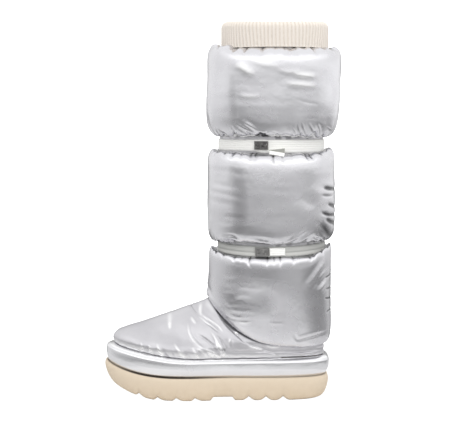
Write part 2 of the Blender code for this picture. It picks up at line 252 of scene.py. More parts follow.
def sample_columns(values: Array, lengths: Array, shares: Array) -> Array:
    """Values part of the way up each column of a grid, straight between its rows.

    Args:
        values: Grid of points or directions, rows by columns by three.
        lengths: Share of its column's length that lies below each point, rows by columns.
        shares: The shares wanted.

    Returns:
        A grid with one row for each share.
    """
    below = (lengths[None, :, :] <= shares[:, None, None]).sum(axis=1) - 1
    below = np.clip(below, 0, len(values) - 2)
    columns = np.arange(values.shape[1])[None, :]
    start, end = lengths[below, columns], lengths[below + 1, columns]
    t = np.clip((shares[:, None] - start) / np.maximum(end - start, TINY), 0.0, 1.0)[..., None]
    return values[below, columns] * (1.0 - t) + values[below + 1, columns] * t


def column_lengths(points: Array) -> Array:
    """The share of each column's length that lies below each of its points.

    Args:
        points: Grid of points, rows by columns by three.

    Returns:
        Shares from 0 to 1, rows by columns.
    """
    total = np.vstack([np.zeros(points.shape[1]), np.cumsum(up_steps(points), axis=0)])
    return total / total[-1]


def surface_normals(points: Array) -> Array:
    """Outward directions of a grid of rings that runs upwards: up its columns crossed with the way round.

    Args:
        points: Grid of points, rows by columns by three.

    Returns:
        Unit directions, in a grid of the same shape.
    """
    around = np.roll(points, -1, axis=1) - np.roll(points, 1, axis=1)
    upward = np.gradient(points, axis=0)
    normals = np.cross(upward, around)
    return normals / np.maximum(np.linalg.norm(normals, axis=2, keepdims=True), TINY)


def blur(values: Array, cells: Span) -> Array:
    """A grid blurred by a Gaussian, carried round its columns and mirrored past its first and last rows.

    Args:
        values: Rows by columns, with or without a last axis of components.
        cells: Standard deviation of the blur in rows and in columns.

    Returns:
        The blurred grid.
    """
    doubled = np.concatenate([values, values[::-1]], axis=0)
    rows = np.fft.fftfreq(doubled.shape[0])[:, None]
    columns = np.fft.fftfreq(doubled.shape[1])[None, :]
    keep = np.exp(-2.0 * math.pi**2 * ((rows * cells[0]) ** 2 + (columns * cells[1]) ** 2))
    keep = keep.reshape(keep.shape + (1,) * (values.ndim - 2))
    return np.fft.ifft2(np.fft.fft2(doubled, axes=(0, 1)) * keep, axes=(0, 1)).real[: len(values)]


def cloth_noise(shape: tuple[int, int], cells: Span, seed: int) -> Array:
    """Soft random relief: seeded white noise, blurred and brought back to a spread of one."""
    made = blur(np.random.default_rng(seed).standard_normal(shape), cells)
    return (made - made.mean()) / made.std()


@dataclass(frozen=True)
class Crease:
    """A soft trough or ridge, drawn on the boot's side through (forward, up) points in millimetres."""

    path: Pairs
    rise: float
    half_width: float
    lip: float = 0.4
    # Painted shade at the crease's core; below 0 it is a painted highlight
    painted_shade: float = 0.0

    def nearest(self, forward: Array, up: Array) -> tuple[Array, Array, Array]:
        """How far points lie from the crease's path, and where along it.

        Args:
            forward: Forward places of the points.
            up: Heights of the points.

        Returns:
            Distance to the path, share of the way along it, and +1 or -1 for the side of it.
        """
        table = np.array(self.path)
        path = smooth_rows(table, np.linspace(0.0, len(table) - 1.0, 3 * len(table)))
        start, run = path[:-1], np.diff(path, axis=0)
        gap_f = forward[..., None] - start[:, 0]
        gap_u = up[..., None] - start[:, 1]
        along = np.clip((gap_f * run[:, 0] + gap_u * run[:, 1]) / (run**2).sum(axis=1), 0.0, 1.0)
        away = np.hypot(gap_f - along * run[:, 0], gap_u - along * run[:, 1])
        best = away.argmin(axis=-1)[..., None]
        share = (best[..., 0] + np.take_along_axis(along, best, -1)[..., 0]) / len(run)
        turn = np.sign(run[:, 0] * gap_u - run[:, 1] * gap_f)
        return np.take_along_axis(away, best, -1)[..., 0], share, np.take_along_axis(turn, best, -1)[..., 0]

    def shape(self, forward: Array, up: Array) -> Array:
        """What the crease adds: a bell across its path with a shallow lip on both sides, fading at its ends.

        Args:
            forward: Forward places of the points.
            up: Heights of the points.

        Returns:
            Relief in millimetres and painted shade at each point, on a last axis; below 0 it is a painted
            highlight.
        """
        distance, share, _ = self.nearest(forward, up)
        away = distance / self.half_width
        fade = np.sin(math.pi * np.clip(share, *CREASE_ENDS)) ** CREASE_FADE
        core, lips = (np.exp(-((away - at) ** 2)) * fade for at in (0.0, CREASE_LIP_AT))
        return np.stack([self.rise * (core - self.lip * lips), self.painted_shade * core], axis=-1)


def crease_shape(
    points: Array, creases: tuple[Crease, ...], side: Side, mirror_at: float | None = None
) -> Array:
    """What a table of creases adds on one side of a grid.

    Args:
        points: The grid, in millimetres.
        creases: The creases, drawn in side view.
        side: The side that they lie on.
        mirror_at: Forward place about which they are turned front to back, if they are.

    Returns:
        Relief in millimetres and painted shade, on a last axis, nothing on the other side.
    """
    forward, up = forward_of(points), points[..., 2]
    if mirror_at is not None:
        forward = 2.0 * mirror_at - forward
    weight = side_share(points, side)
    made = np.zeros((*weight.shape, 2))
    for crease in creases:
        table = np.array(crease.path)
        reach = CREASE_REACH * crease.half_width
        low, high = table.min(axis=0) - reach, table.max(axis=0) + reach
        near = (weight > 0.0) & (forward > low[0]) & (forward < high[0]) & (up > low[1]) & (up < high[1])
        made[near] += crease.shape(forward[near], up[near])
    return made * weight[..., None]


@dataclass
class Patch:
    """A grid of points that becomes part of a mesh, with its flat cloth coordinates and its finish."""

    points: Array
    closing: Closing
    marks: dict[str, Array] = field(default_factory=dict)
    material: int = 0

    def corners(self) -> list[tuple[Array, Array]]:
        """The corners of the grid's quads, wound so that a grid of rising rings looks outwards.

        Returns:
            Row and column numbers of the quads' four corners, one past the last where the grid closes.
        """
        rows, columns = self.points.shape[:2]
        last_row = rows if self.closing is Closing.RING else rows - 1
        last_column = columns - 1 if self.closing is Closing.OPEN else columns
        row, column = np.meshgrid(np.arange(last_row), np.arange(last_column), indexing="ij")
        return [(row, column), (row + 1, column), (row + 1, column + 1), (row, column + 1)]

    def faces(self) -> Array:
        """The grid's quads by the numbers of their points, counted row by row.

        Returns:
            Four point numbers for each quad.
        """
        rows, columns = self.points.shape[:2]
        numbers = [(r % rows) * columns + c % columns for r, c in self.corners()]
        return np.stack(numbers, axis=-1).reshape(-1, 4)

    def flat(self) -> Array:
        """Cloth coordinates of the quads' corners: length round the widest ring, and mean length up the rows.

        Returns:
            Both lengths in metres, a row for each corner.
        """
        step_round = round_steps(self.points).max(axis=0)
        step_up = np.linalg.norm(np.roll(self.points, -1, axis=0) - self.points, axis=2).mean(axis=1)
        across, along = (np.concatenate([[0.0], np.cumsum(step)]) * MM for step in (step_round, step_up))
        pairs = [np.stack([across[c], along[r]], axis=-1) for r, c in self.corners()]
        return np.stack(pairs, axis=2).reshape(-1, 2)


def make_piece(
    name: str, patches: list[Patch], materials: list[bpy.types.Material], sharp: float = 60.0
) -> bpy.types.Object:
    """One mesh object from grids of points, with cloth coordinates, marks and finishes.

    Args:
        name: Name of the piece.
        patches: Its grids, in millimetres.
        materials: Its finishes, which the patches name by number.
        sharp: Angle in degrees above which an edge stays sharp.

    Returns:
        The new object, at the origin with its place in its mesh.
    """
    offsets = np.cumsum([0] + [p.points.shape[0] * p.points.shape[1] for p in patches])
    points = np.concatenate([p.points.reshape(-1, 3) for p in patches]) * MM
    faces = np.concatenate([p.faces() + start for p, start in zip(patches, offsets)])
    mesh = bpy.data.meshes.new(name)
    mesh.vertices.add(len(points))
    mesh.vertices.foreach_set("co", points.astype(np.float32).ravel())
    mesh.loops.add(faces.size)
    mesh.loops.foreach_set("vertex_index", faces.astype(np.int32).ravel())
    mesh.polygons.add(len(faces))
    mesh.polygons.foreach_set("loop_start", np.arange(0, faces.size, 4, dtype=np.int32))
    slots = np.concatenate([np.full(len(p.faces()), p.material, np.int32) for p in patches])
    mesh.polygons.foreach_set("material_index", slots)
    mesh.update(calc_edges=True)
    flat = mesh.uv_layers.new(name="cloth")
    flat.data.foreach_set("uv", np.concatenate([p.flat() for p in patches]).astype(np.float32).ravel())
    for mark in sorted({m for p in patches for m in p.marks}):
        values = [p.marks.get(mark, np.zeros(p.points.shape[:2])).ravel() for p in patches]
        layer = mesh.attributes.new(mark, "FLOAT", "POINT")
        layer.data.foreach_set("value", np.concatenate(values).astype(np.float32))
    shape = bmesh.new()
    shape.from_mesh(mesh)
    bmesh.ops.remove_doubles(shape, verts=shape.verts, dist=WELD)
    bmesh.ops.dissolve_degenerate(shape, edges=shape.edges, dist=SLIVER)
    shape.to_mesh(mesh)
    shape.free()
    mesh.shade_smooth()
    mesh.set_sharp_from_angle(angle=math.radians(sharp))
    for material in materials:
        mesh.materials.append(material)
    made = bpy.data.objects.new(name, mesh)
    bpy.context.scene.collection.objects.link(made)
    return made


def register(piece: bpy.types.Object, slot: str, *nodes: str) -> None:
    """Puts a piece on the boot's body and lets it stand for its CAD nodes.

    Args:
        piece: The finished piece.
        slot: The record's material slot; not used.
        nodes: The CAD nodes that it stands for.
    """
    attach(piece, BODY)
    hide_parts(*nodes)
    LOG.info("%s: %d faces", piece.name, len(piece.data.polygons))


def grey(value: float) -> tuple[float, float, float, float]:
    """A linear grey of a brightness, with a full alpha."""
    return (value, value, value, 1.0)


@dataclass(frozen=True)
class Shading:
    """A node tree, with the small steps that the finishes and the studio's light are put together from."""

    tree: bpy.types.NodeTree

    def feed(self, node: bpy.types.Node, inputs: dict) -> None:
        """Fills a node's inputs: a socket is linked, a hex colour set as linear, any other value as it is.

        Args:
            node: The node.
            inputs: Sockets or values by the name or number of the input.
        """
        for key, value in inputs.items():
            if isinstance(value, Socket):
                self.tree.links.new(value, node.inputs[key])
            else:
                node.inputs[key].default_value = linear_colour(value) if isinstance(value, str) else value

    def add(self, kind: str, inputs: dict | None = None, **settings: str) -> bpy.types.Node:
        """Adds one node.

        Args:
            kind: Blender's name of the node, without the start that all shader nodes share.
            inputs: What its inputs take, by name or number.
            settings: Values of its properties.

        Returns:
            The new node.
        """
        node = self.tree.nodes.new("ShaderNode" + kind)
        for key, value in settings.items():
            setattr(node, key, value)
        self.feed(node, inputs or {})
        return node

    def place(self) -> Socket:
        """The place in the boot's frame, in metres."""
        return self.add("TexCoord").outputs["Object"]

    def cloth(self) -> Socket:
        """The flat cloth coordinates, in metres."""
        return self.add("UVMap", uv_map="cloth").outputs["UV"]

    def mark(self, name: str) -> Socket:
        """A mark that the mesh's points carry."""
        return self.add("Attribute", attribute_name=name).outputs["Fac"]

    def height(self, place: Socket) -> Socket:
        """The height of a place or a direction."""
        return self.add("SeparateXYZ", {0: place}).outputs[2]

    def noise(self, place: Socket, size_mm: float, detail: float, **more: float) -> Socket:
        """A soft random value, with its size in millimetres and its number of finer layers."""
        inputs = {"Vector": place, "Scale": 1.0 / (size_mm * MM), "Detail": detail, **more}
        return self.add("TexNoise", inputs).outputs[0]

    def bands(self, place: Socket, pitch_mm: float, axis: str, **more: float) -> Socket:
        """A wave along an axis, with its pitch in millimetres."""
        inputs = {"Vector": place, "Scale": WAVE_PITCH / (pitch_mm * MM), **more}
        return self.add("TexWave", inputs, bands_direction=axis).outputs[1]

    def carry(self, value: Socket, start: Span, end: Span = (0.0, 1.0)) -> Socket:
        """A value carried from one range into another and held at its ends."""
        ranges = {"From Min": start[0], "From Max": start[1], "To Min": end[0], "To Max": end[1]}
        return self.add("MapRange", {"Value": value, **ranges}).outputs[0]

    def blend(self, share: Socket, low: Tone, high: Tone) -> Socket:
        """A colour between two others, by a share: a Mix node has its colours on inputs 6 and 7."""
        return self.add("Mix", {0: share, 6: low, 7: high}, data_type="RGBA").outputs[2]

    def times(self, first: Socket, second: Socket | float) -> Socket:
        """The product of two values."""
        return self.add("Math", {0: first, 1: second}, operation="MULTIPLY").outputs[0]

    def bump(self, height: Socket, strength: float, high_mm: float, **under: Socket) -> Socket:
        """The way that a surface looks, tilted by a relief in millimetres on top of what is under it."""
        inputs = {"Height": height, "Strength": strength, "Distance": high_mm * MM, **under}
        return self.add("Bump", inputs).outputs[0]

    def ring(self, place: Socket, stops: Pairs) -> Socket:
        """Brightness round the upright axis.

        Args:
            place: The place or direction.
            stops: Brightness by share of the way round.

        Returns:
            The brightness as a grey.
        """
        around = self.add("TexGradient", {0: place}, gradient_type="RADIAL").outputs[1]
        tones = self.add("ValToRGB", {0: around})
        elements = tones.color_ramp.elements
        while len(elements) < len(stops):
            elements.new(1.0)
        for element, (at, value) in zip(elements, stops):
            element.position = at
            element.color = grey(value)
        return tones.outputs[0]


@dataclass(frozen=True)
class Finish:
    """A named finish; each kind works out what the Principled shader takes."""

    name: str

    def look(self, shade: Shading) -> dict:
        """What the shader's inputs take, by name."""
        raise NotImplementedError

    def material(self) -> bpy.types.Material:
        """The finish as a material with one Principled shader.

        Returns:
            The material.
        """
        material = bpy.data.materials.new(self.name)
        material.use_nodes = True
        shade = Shading(material.node_tree)
        shade.feed(shade.tree.nodes["Principled BSDF"], self.look(shade))
        return material


@dataclass(frozen=True)
class FoilCloth(Finish):
    """Nylon taffeta with a laminated aluminium foil face.

    The foil gives the eye a soft mirror that crumples: broad reflections broken by fine random crinkles,
    slightly duller where the laminate is rubbed, with the taffeta's weave just felt under the foil.
    """

    bright: str = "#E6E6E9"
    dull: str = "#D6D5D9"
    # Painted shade for light lost between the walls of a deep fold, and a painted highlight on a sharp crest
    painted_shade_tone: str = "#3E3E41"
    crest_highlight: str = "#FFFFFF"
    # Marks over which a fold takes its painted shade and the share that it does, and those over which a
    # crest takes its painted highlight, with its polish
    deep_marks: Span = (0.2, 1.0)
    deep_shares: Span = (0.0, 0.9)
    crest_marks: Span = (-0.1, -0.9)
    crest_polish: float = -0.2
    roughness: Span = (0.2, 0.32)
    cloud_mm: float = 28.0
    cloud_span: Span = (0.3, 0.7)
    # The crinkles' size, height, share of finer ones and warp
    crinkle_mm: float = 7.0
    crinkle_height_mm: float = 0.16
    crinkle_fine: float = 0.45
    crinkle_warp: float = 0.6
    # The real weave has about 0.25 mm between threads; it is drawn at 1.1 mm so that it shows
    thread_mm: float = 1.1
    thread_height_mm: float = 0.012
    thread_strength: float = 0.5

    def look(self, shade: Shading) -> dict:
        """The foil's look: clouded colour and roughness, painted shade and highlights, bumps for crinkles and
        weave.

        Args:
            shade: The material's node tree.

        Returns:
            What the shader's inputs take, by name.
        """
        place, fold = shade.place(), shade.mark("fold")
        cloud = shade.noise(place, self.cloud_mm, 3.0)
        plain = shade.blend(cloud, self.bright, self.dull)
        # Painted shade in deep folds and a painted highlight on crests, both from the painted-light mark
        shut = shade.blend(shade.carry(fold, self.deep_marks, self.deep_shares), plain, self.painted_shade_tone)
        highlight_and_polish = shade.carry(fold, self.crest_marks)
        rough = shade.carry(cloud, self.cloud_span, self.roughness)
        polish = {0: rough, 1: shade.times(highlight_and_polish, self.crest_polish)}
        warp = {"Roughness": self.crinkle_fine, "Distortion": self.crinkle_warp}
        crinkle = shade.noise(place, self.crinkle_mm, 2.0, **warp)
        crumpled = shade.bump(crinkle, 1.0, self.crinkle_height_mm)
        threads = {"Vector": shade.cloth(), "Scale": 1.0 / (self.thread_mm * MM)}
        weave = shade.add("TexChecker", threads).outputs[1]
        return {
            "Base Color": shade.blend(highlight_and_polish, shut, self.crest_highlight),
            "Roughness": shade.add("Math", polish, operation="ADD").outputs[0],
            "Normal": shade.bump(weave, self.thread_strength, self.thread_height_mm, Normal=crumpled),
            "Metallic": 1.0,
        }


@dataclass(frozen=True)
class FoamRubber(Finish):
    """Moulded foamed rubber.

    Matt and slightly mottled, with the fine skin that a mould leaves, a little darker towards the floor.
    """

    name: str = "moulded foam rubber"
    light: str = "#D6C7B2"
    shade: str = "#C5B298"
    # Painted shade in the joint with the midsole
    joint: str = "#4A4034"
    # Heights in metres between which the shade thins upwards, and its shares there
    shade_span: Span = (0.0, 0.03)
    shade_shares: Span = (0.95, 0.15)
    roughness: float = 0.72
    mottle_mm: float = 9.0
    # The real skin is about 0.2 mm; it is drawn at 0.9 mm so that it shows
    skin_mm: float = 0.9
    skin_height_mm: float = 0.05
    skin_strength: float = 0.6

    def look(self, shade: Shading) -> dict:
        """The foam's look: mottled cream, darker low down, with painted shade at its joint and a fine moulded
        skin.

        Args:
            shade: The material's node tree.

        Returns:
            What the shader's inputs take, by name.
        """
        place = shade.place()
        low = shade.carry(shade.height(place), self.shade_span, self.shade_shares)
        share = shade.times(low, shade.noise(place, self.mottle_mm, 4.0))
        plain = shade.blend(share, self.light, self.shade)
        skin = shade.noise(place, self.skin_mm, 2.0)
        return {
            "Base Color": shade.blend(shade.mark("joint"), plain, self.joint),
            "Normal": shade.bump(skin, self.skin_strength, self.skin_height_mm),
            "Roughness": self.roughness,
        }


@dataclass(frozen=True)
class RibKnit(Finish):
    """Wool-blend rib knit.

    Soft and matt, with a faint fuzz at grazing angles and painted shade in the grooves between the ribs.
    """

    name: str = "wool rib knit"
    wool: str = "#F0E8DF"
    # Painted shade in the grooves between the ribs
    groove: str = "#D9CEC1"
    groove_gain: float = 1.7
    roughness: float = 0.92
    # The real stitch is about 1.2 mm tall; it is drawn at 2.2 mm so that it shows
    stitch_mm: float = 2.2
    stitch_height_mm: float = 0.1
    stitch_strength: float = 0.6
    stitch_warp: float = 2.0
    fuzz: float = 0.3
    fuzz_roughness: float = 0.5

    def look(self, shade: Shading) -> dict:
        """The knit's look: painted shade by the groove mark, and a slanted stitch bump on its cloth
        coordinates.

        Args:
            shade: The material's node tree.

        Returns:
            What the shader's inputs take, by name.
        """
        cloth = shade.cloth()
        groove = shade.times(shade.mark("groove"), shade.noise(cloth, self.stitch_mm, 3.0))
        stitch = shade.bands(cloth, self.stitch_mm, "Y", Distortion=self.stitch_warp, Detail=1.0)
        return {
            "Base Color": shade.blend(shade.times(groove, self.groove_gain), self.wool, self.groove),
            "Normal": shade.bump(stitch, self.stitch_strength, self.stitch_height_mm),
            "Roughness": self.roughness,
            "Sheen Weight": self.fuzz,
            "Sheen Roughness": self.fuzz_roughness,
        }


@dataclass(frozen=True)
class Webbing(Finish):
    """Woven polyester webbing: matt cream with lengthwise cords and a fine cross weave."""

    name: str = "woven polyester webbing"
    yarn: str = "#FFFFFC"
    # Painted shade between the cords, and a darker painted shade on a flap that looks down
    shade: str = "#F0EFEA"
    painted_shade_tone: str = "#B0B0AA"
    roughness: float = 0.75
    # The real picks are about 0.6 mm apart; they are drawn at 1.4 mm so that they show
    pick_mm: float = 1.4
    pick_height_mm: float = 0.12
    pick_strength: float = 0.5
    pick_warp: float = 0.6

    def look(self, shade: Shading) -> dict:
        """The webbing's look: painted shade from its marks, and a cross weave on its cloth coordinates.

        Args:
            shade: The material's node tree.

        Returns:
            What the shader's inputs take, by name.
        """
        picks = shade.bands(shade.cloth(), self.pick_mm, "X", Distortion=self.pick_warp)
        plain = shade.blend(shade.mark("groove"), self.yarn, self.shade)
        return {
            "Base Color": shade.blend(shade.mark("fold"), plain, self.painted_shade_tone),
            "Normal": shade.bump(picks, self.pick_strength, self.pick_height_mm),
            "Roughness": self.roughness,
        }


@dataclass(frozen=True)
class Pewter(Finish):
    """Antiqued cast pewter: a dark metal, brighter on its high edges and dull in its hollows."""

    name: str = "antiqued pewter"
    high: str = "#C9C8C6"
    low: str = "#403F3F"
    # Roughness in the hollows and on the high edges
    roughness: Span = (0.55, 0.28)
    grain_mm: float = 1.5
    grain_height_mm: float = 0.1
    grain_strength: float = 0.4

    def look(self, shade: Shading) -> dict:
        """The pewter's look: colour and roughness from a mark of wear and painted glints, and a fine cast
        grain.

        Args:
            shade: The material's node tree.

        Returns:
            What the shader's inputs take, by name.
        """
        worn, grain = shade.mark("worn"), shade.noise(shade.place(), self.grain_mm, 3.0)
        return {
            "Base Color": shade.blend(worn, self.low, self.high),
            "Roughness": shade.carry(worn, (0.0, 1.0), self.roughness),
            "Normal": shade.bump(grain, self.grain_strength, self.grain_height_mm),
            "Metallic": 1.0,
        }


@dataclass(frozen=True)
class Fleece(Finish):
    """Brushed fleece: matt, mottled and a little fuzzy."""

    tip: str = "#EFE9DF"
    root: str = "#CFC7BB"
    pile_mm: float = 2.5
    pile_height_mm: float = 0.6
    pile_strength: float = 0.7
    roughness: float = 0.95
    fuzz: float = 0.4

    def look(self, shade: Shading) -> dict:
        """The fleece's look: mottled pile with a deep soft bump and a sheen of loose fibres.

        Args:
            shade: The material's node tree.

        Returns:
            What the shader's inputs take, by name.
        """
        pile = shade.noise(shade.place(), self.pile_mm, 4.0)
        return {
            "Base Color": shade.blend(pile, self.root, self.tip),
            "Normal": shade.bump(pile, self.pile_strength, self.pile_height_mm),
            "Roughness": self.roughness,
            "Sheen Weight": self.fuzz,
        }


@dataclass(frozen=True)
class StudioPaper(Finish):
    """White studio paper, matt, with a faint tooth."""

    colour: str = "#F4F4F4"
    glow: float = 0.25
    tooth: str = "#F1F1F1"
    tooth_mm: float = 1000.0 / 60.0
    roughness: float = 0.95
    gloss: float = 0.1

    def look(self, shade: Shading) -> dict:
        """The paper's look: a pale matt colour with a faint clouding, and a glow.

        Args:
            shade: The material's node tree.

        Returns:
            What the shader's inputs take, by name.
        """
        cloud = shade.noise(shade.place(), self.tooth_mm, 2.0)
        return {
            "Base Color": shade.blend(cloud, self.colour, self.tooth),
            "Roughness": self.roughness,
            "Specular IOR Level": self.gloss,
            "Emission Color": "#FFFFFF",
            "Emission Strength": self.glow,
        }


@dataclass(frozen=True)
class WallPaper(Finish):
    """Paper of a low wall: it glows in a ring of tones that turns into another above, and has a pale foot."""

    low: Pairs
    high: Pairs
    # Heights in metres between which the tones turn and between which the foot ends, its brightness and
    # its share
    turn: Span
    foot: Span
    foot_tone: float
    foot_share: float = 0.9

    def look(self, shade: Shading) -> dict:
        """The wall's look: a glow alone, from its rings of tones and its height.

        Args:
            shade: The material's node tree.

        Returns:
            What the shader's inputs take, by name.
        """
        place = shade.place()
        height = shade.height(place)
        foot = shade.carry(height, self.foot, (self.foot_share, 0.0))
        pale = shade.blend(foot, shade.ring(place, self.low), grey(self.foot_tone))
        return {
            "Base Color": "#000000",
            "Specular IOR Level": 0.0,
            "Emission Color": shade.blend(shade.carry(height, self.turn), pale, shade.ring(place, self.high)),
            "Emission Strength": 1.0,
        }


@dataclass(frozen=True)
class Ring:
    """One closed ring of the upper, from its back point to its front point."""

    back: float
    back_up: float
    front: float
    front_up: float
    heel_half: float
    ball_half: float
    back_blunt: float
    front_blunt: float
    rise: float
    bend: float


def outline(columns: Array, turns: Array) -> tuple[Array, Array, Array]:
    """Foot-shaped outlines: superellipses, widened to the ball, pinched at the waist and bent.

    The half width is (1 - |2s - 1|^blunt)^(1/blunt) of the width at share s, where s = (1 - cos turn) / 2.

    Args:
        columns: Back, front, heel half width, ball half width, back and front bluntness and bend, a row each.
        turns: Angles round the outline, from the back over the outer side to the front.

    Returns:
        Outward and forward places, rows by turns, and the shares.
    """
    back, front, heel_half, ball_half, back_blunt, front_blunt, bend = (c[:, None] for c in columns)
    shares = ((1.0 - np.cos(turns)) / 2.0)[None, :]
    side = np.where(turns < math.pi, 1.0, -1.0)[None, :]
    blunt = np.where(shares < 0.5, back_blunt, front_blunt)
    ends = np.clip(1.0 - np.abs(2.0 * shares - 1.0) ** blunt, 0.0, 1.0) ** (1.0 / blunt)
    half = ends * (heel_half + (ball_half - heel_half) * ramp(shares, (WAIST_SHARE, BALL_SHARE)))
    waist = bend * bell(shares - WAIST_SHARE, WAIST_SPREAD)
    pinch = waist * np.where(side > 0.0, OUTER_PINCH, INNER_PINCH)
    centre = bend * TOE_TURN * ramp(shares, (WAIST_SHARE, 1.0))
    return centre + side * half * (1.0 - pinch), back + (front - back) * shares, shares


def platform_up(forward: Array) -> Array:
    """Height of the platform that the upper stands on."""
    return PLATFORM_UP + PLATFORM_SPRING.up(forward)


def feather_up(forward: Array) -> Array:
    """Height of the feather line, where the upper presses into the platform, more so towards the toe."""
    return platform_up(forward) - FEATHER_PRESS[0] - FEATHER_PRESS[1] * ramp(forward, FEATHER_SPAN)


def joint_up(forward: Array) -> Array:
    """Height of the joint between outsole and midsole."""
    return JOINT_UP + JOINT_SPRING.up(forward)


def joint_shade(forward: Array) -> Array:
    """Painted shade in the joint between outsole and midsole: deepest under the ball, less at both ends."""
    grown = JOINT_HEEL_SHADE + (1.0 - JOINT_HEEL_SHADE) * ramp(forward, JOINT_DARK_SPAN)
    return grown * (1.0 - JOINT_TOE_LOSS * ramp(forward, JOINT_TOE_SPAN))


def even_turns(count: int) -> Array:
    """Equal angles round a ring, from its back."""
    return np.arange(count) * 2.0 * math.pi / count


def on_boot(outward: Array, forward: Array, up: Array) -> Array:
    """Points in the boot's frame from outward, forward and up places, all in millimetres."""
    return np.stack(np.broadcast_arrays(outward, ORIGIN_FORWARD - forward, up), axis=-1)


@dataclass(frozen=True)
class Last:
    """The form that the upper is drawn over, as rings from the feather edge to the collar."""

    rings: tuple[Ring, ...] = (
        Ring(4.7, 52.2, 258.4, 64.6, 38.5, 46.0, 3.0, 2.5, 4.0, 1.0),
        Ring(3.7, 55.4, 262.7, 70.6, 40.0, 48.0, 2.9, 2.5, 3.4, 1.0),
        Ring(3.7, 57.5, 257.8, 77.2, 40.2, 46.5, 2.8, 2.5, 3.2, 0.95),
        Ring(3.8, 59.0, 243.6, 82.8, 40.2, 44.0, 2.7, 2.5, 3.1, 0.9),
        Ring(3.9, 60.5, 222.4, 88.9, 40.2, 41.5, 2.6, 2.5, 3.1, 0.8),
        Ring(4.1, 62.1, 197.3, 97.3, 40.2, 40.5, 2.5, 2.5, 3.2, 0.65),
        Ring(4.5, 63.6, 172.2, 106.5, 40.2, 40.2, 2.5, 2.4, 3.4, 0.5),
        Ring(4.9, 65.1, 145.0, 118.5, 40.2, 40.2, 2.4, 2.2, 3.7, 0.35),
        Ring(5.4, 78.9, 135.0, 130.7, 40.6, 40.6, 2.3, 2.1, 3.0, 0.2),
        Ring(6.7, 100.3, 133.0, 145.8, 43.0, 43.0, 2.1, 2.0, 2.3, 0.1),
        Ring(7.6, 132.7, 132.4, 158.9, 49.0, 49.0, 2.0, 2.0, 1.6, 0.0),
        Ring(6.3, 175.0, 132.3, 175.0, 54.0, 54.0, 2.0, 2.0, 1.0, 0.0),
        Ring(6.4, 190.0, 132.1, 190.0, 54.0, 54.0, 2.0, 2.0, 1.0, 0.0),
        Ring(8.2, 296.4, 131.6, 296.4, 54.0, 54.0, 2.0, 2.0, 1.0, 0.0),
        Ring(8.2, 314.2, 131.3, 314.2, 54.0, 54.0, 2.0, 2.0, 1.0, 0.0),
        Ring(4.6, 418.0, 127.2, 418.0, 54.0, 54.0, 2.0, 2.0, 1.0, 0.0),
    )

    def surface(self, levels: Array, turns: Array) -> Array:
        """The form's surface: rings between its named ones, each rising to its front by a power of the share.

        Args:
            levels: Ring numbers, whole or part.
            turns: Angles round the rings.

        Returns:
            A grid of points, a row for each level.
        """
        table = np.array([list(vars(ring).values()) for ring in self.rings])
        back, back_up, front, front_up, heel, ball, back_b, front_b, rise, bend = smooth_rows(table, levels).T
        outward, forward, shares = outline(np.array([back, front, heel, ball, back_b, front_b, bend]), turns)
        up = back_up[:, None] + (front_up - back_up)[:, None] * shares ** rise[:, None]
        seated = np.clip(1.0 - levels, 0.0, 1.0)[:, None]
        up = up * (1.0 - seated) + (feather_up(forward) + FEATHER_GAP) * seated
        return on_boot(outward, forward, up)


LAST = Last()


@dataclass(frozen=True)
class Edge:
    """One step of a sole's side: its height share and how far its outline is drawn in."""

    height: float
    back_in: float
    front_in: float
    side_in: float


@dataclass
class SolePiece:
    """One moulded or wrapped layer of the sole, from its underside to its top."""

    back: float
    front: float
    heel_half: float
    ball_half: float
    side: tuple[Edge, ...]
    columns: int = 560
    rows: int = 30
    cap_rows: int = 5
    back_blunt: float = 3.6
    front_blunt: float = 2.45

    def low_up(self, forward: Array) -> Array:
        """Height of the underside."""
        return joint_up(forward) + FIT_GAP

    def top_up(self, forward: Array) -> Array:
        """Height of the top."""
        return feather_up(forward)

    def grid(self) -> Array:
        """The layer's skin: its side rings, with both ends drawn together to the middle line.

        Each ring is the widest outline drawn in by a smooth curve through the steps, and stands at a height
        share between underside and top. The caps scale the half width down to nothing.

        Returns:
            A grid of points from the middle of the underside to the middle of the top.
        """
        table = np.array([list(vars(edge).values()) for edge in self.side])
        levels = np.linspace(0.0, len(table) - 1.0, self.rows)
        height, back_in, front_in, side_in = smooth_rows(table, levels).T
        blunts = np.full((2, self.rows), [[self.back_blunt], [self.front_blunt]])
        ends, halves = [self.back + back_in, self.front - front_in], [self.heel_half, self.ball_half]
        plan = [*ends, *(half - side_in for half in halves)]
        turns = even_turns(self.columns)
        outward, forward, _ = outline(np.array([*plan, *blunts, np.ones(self.rows)]), turns)
        low, top = self.low_up(forward), self.top_up(forward)
        side = on_boot(outward, forward, low + (top - low) * height[:, None])
        return np.concatenate([self.cap(side[0])[::-1], side, self.cap(side[-1])])

    def cap(self, ring: Array) -> Array:
        """Rings drawn in from a closed one towards its middle line, the last one flat on it.

        Args:
            ring: The closed ring.

        Returns:
            A grid of rings, the outermost first.
        """
        partner = (-np.arange(self.columns)) % self.columns
        middle = (ring + ring[partner]) / 2.0
        shares = (np.arange(1, self.cap_rows + 1) / self.cap_rows)[:, None, None]
        return ring + (middle - ring) * shares


@dataclass(frozen=True)
class Notches:
    """A row of equal cross notches, each with a run towards the toe and one towards the heel."""

    first: float
    pitch: float
    count: int
    toe_run: float
    heel_run: float
    depth: float

    def up(self, forward: Array, power: float) -> Array:
        """Height that the notches add to the tread: the depth times a power of the share of the way in.

        Args:
            forward: Forward places.
            power: How hollow the sides of a notch are.

        Returns:
            Height in millimetres at each place.
        """
        away = forward[..., None] - (self.first + self.pitch * np.arange(self.count))
        inside = np.clip(1.0 - np.abs(away) / np.where(away > 0.0, self.toe_run, self.heel_run), 0.0, 1.0)
        return self.depth * (inside**power).sum(axis=-1)


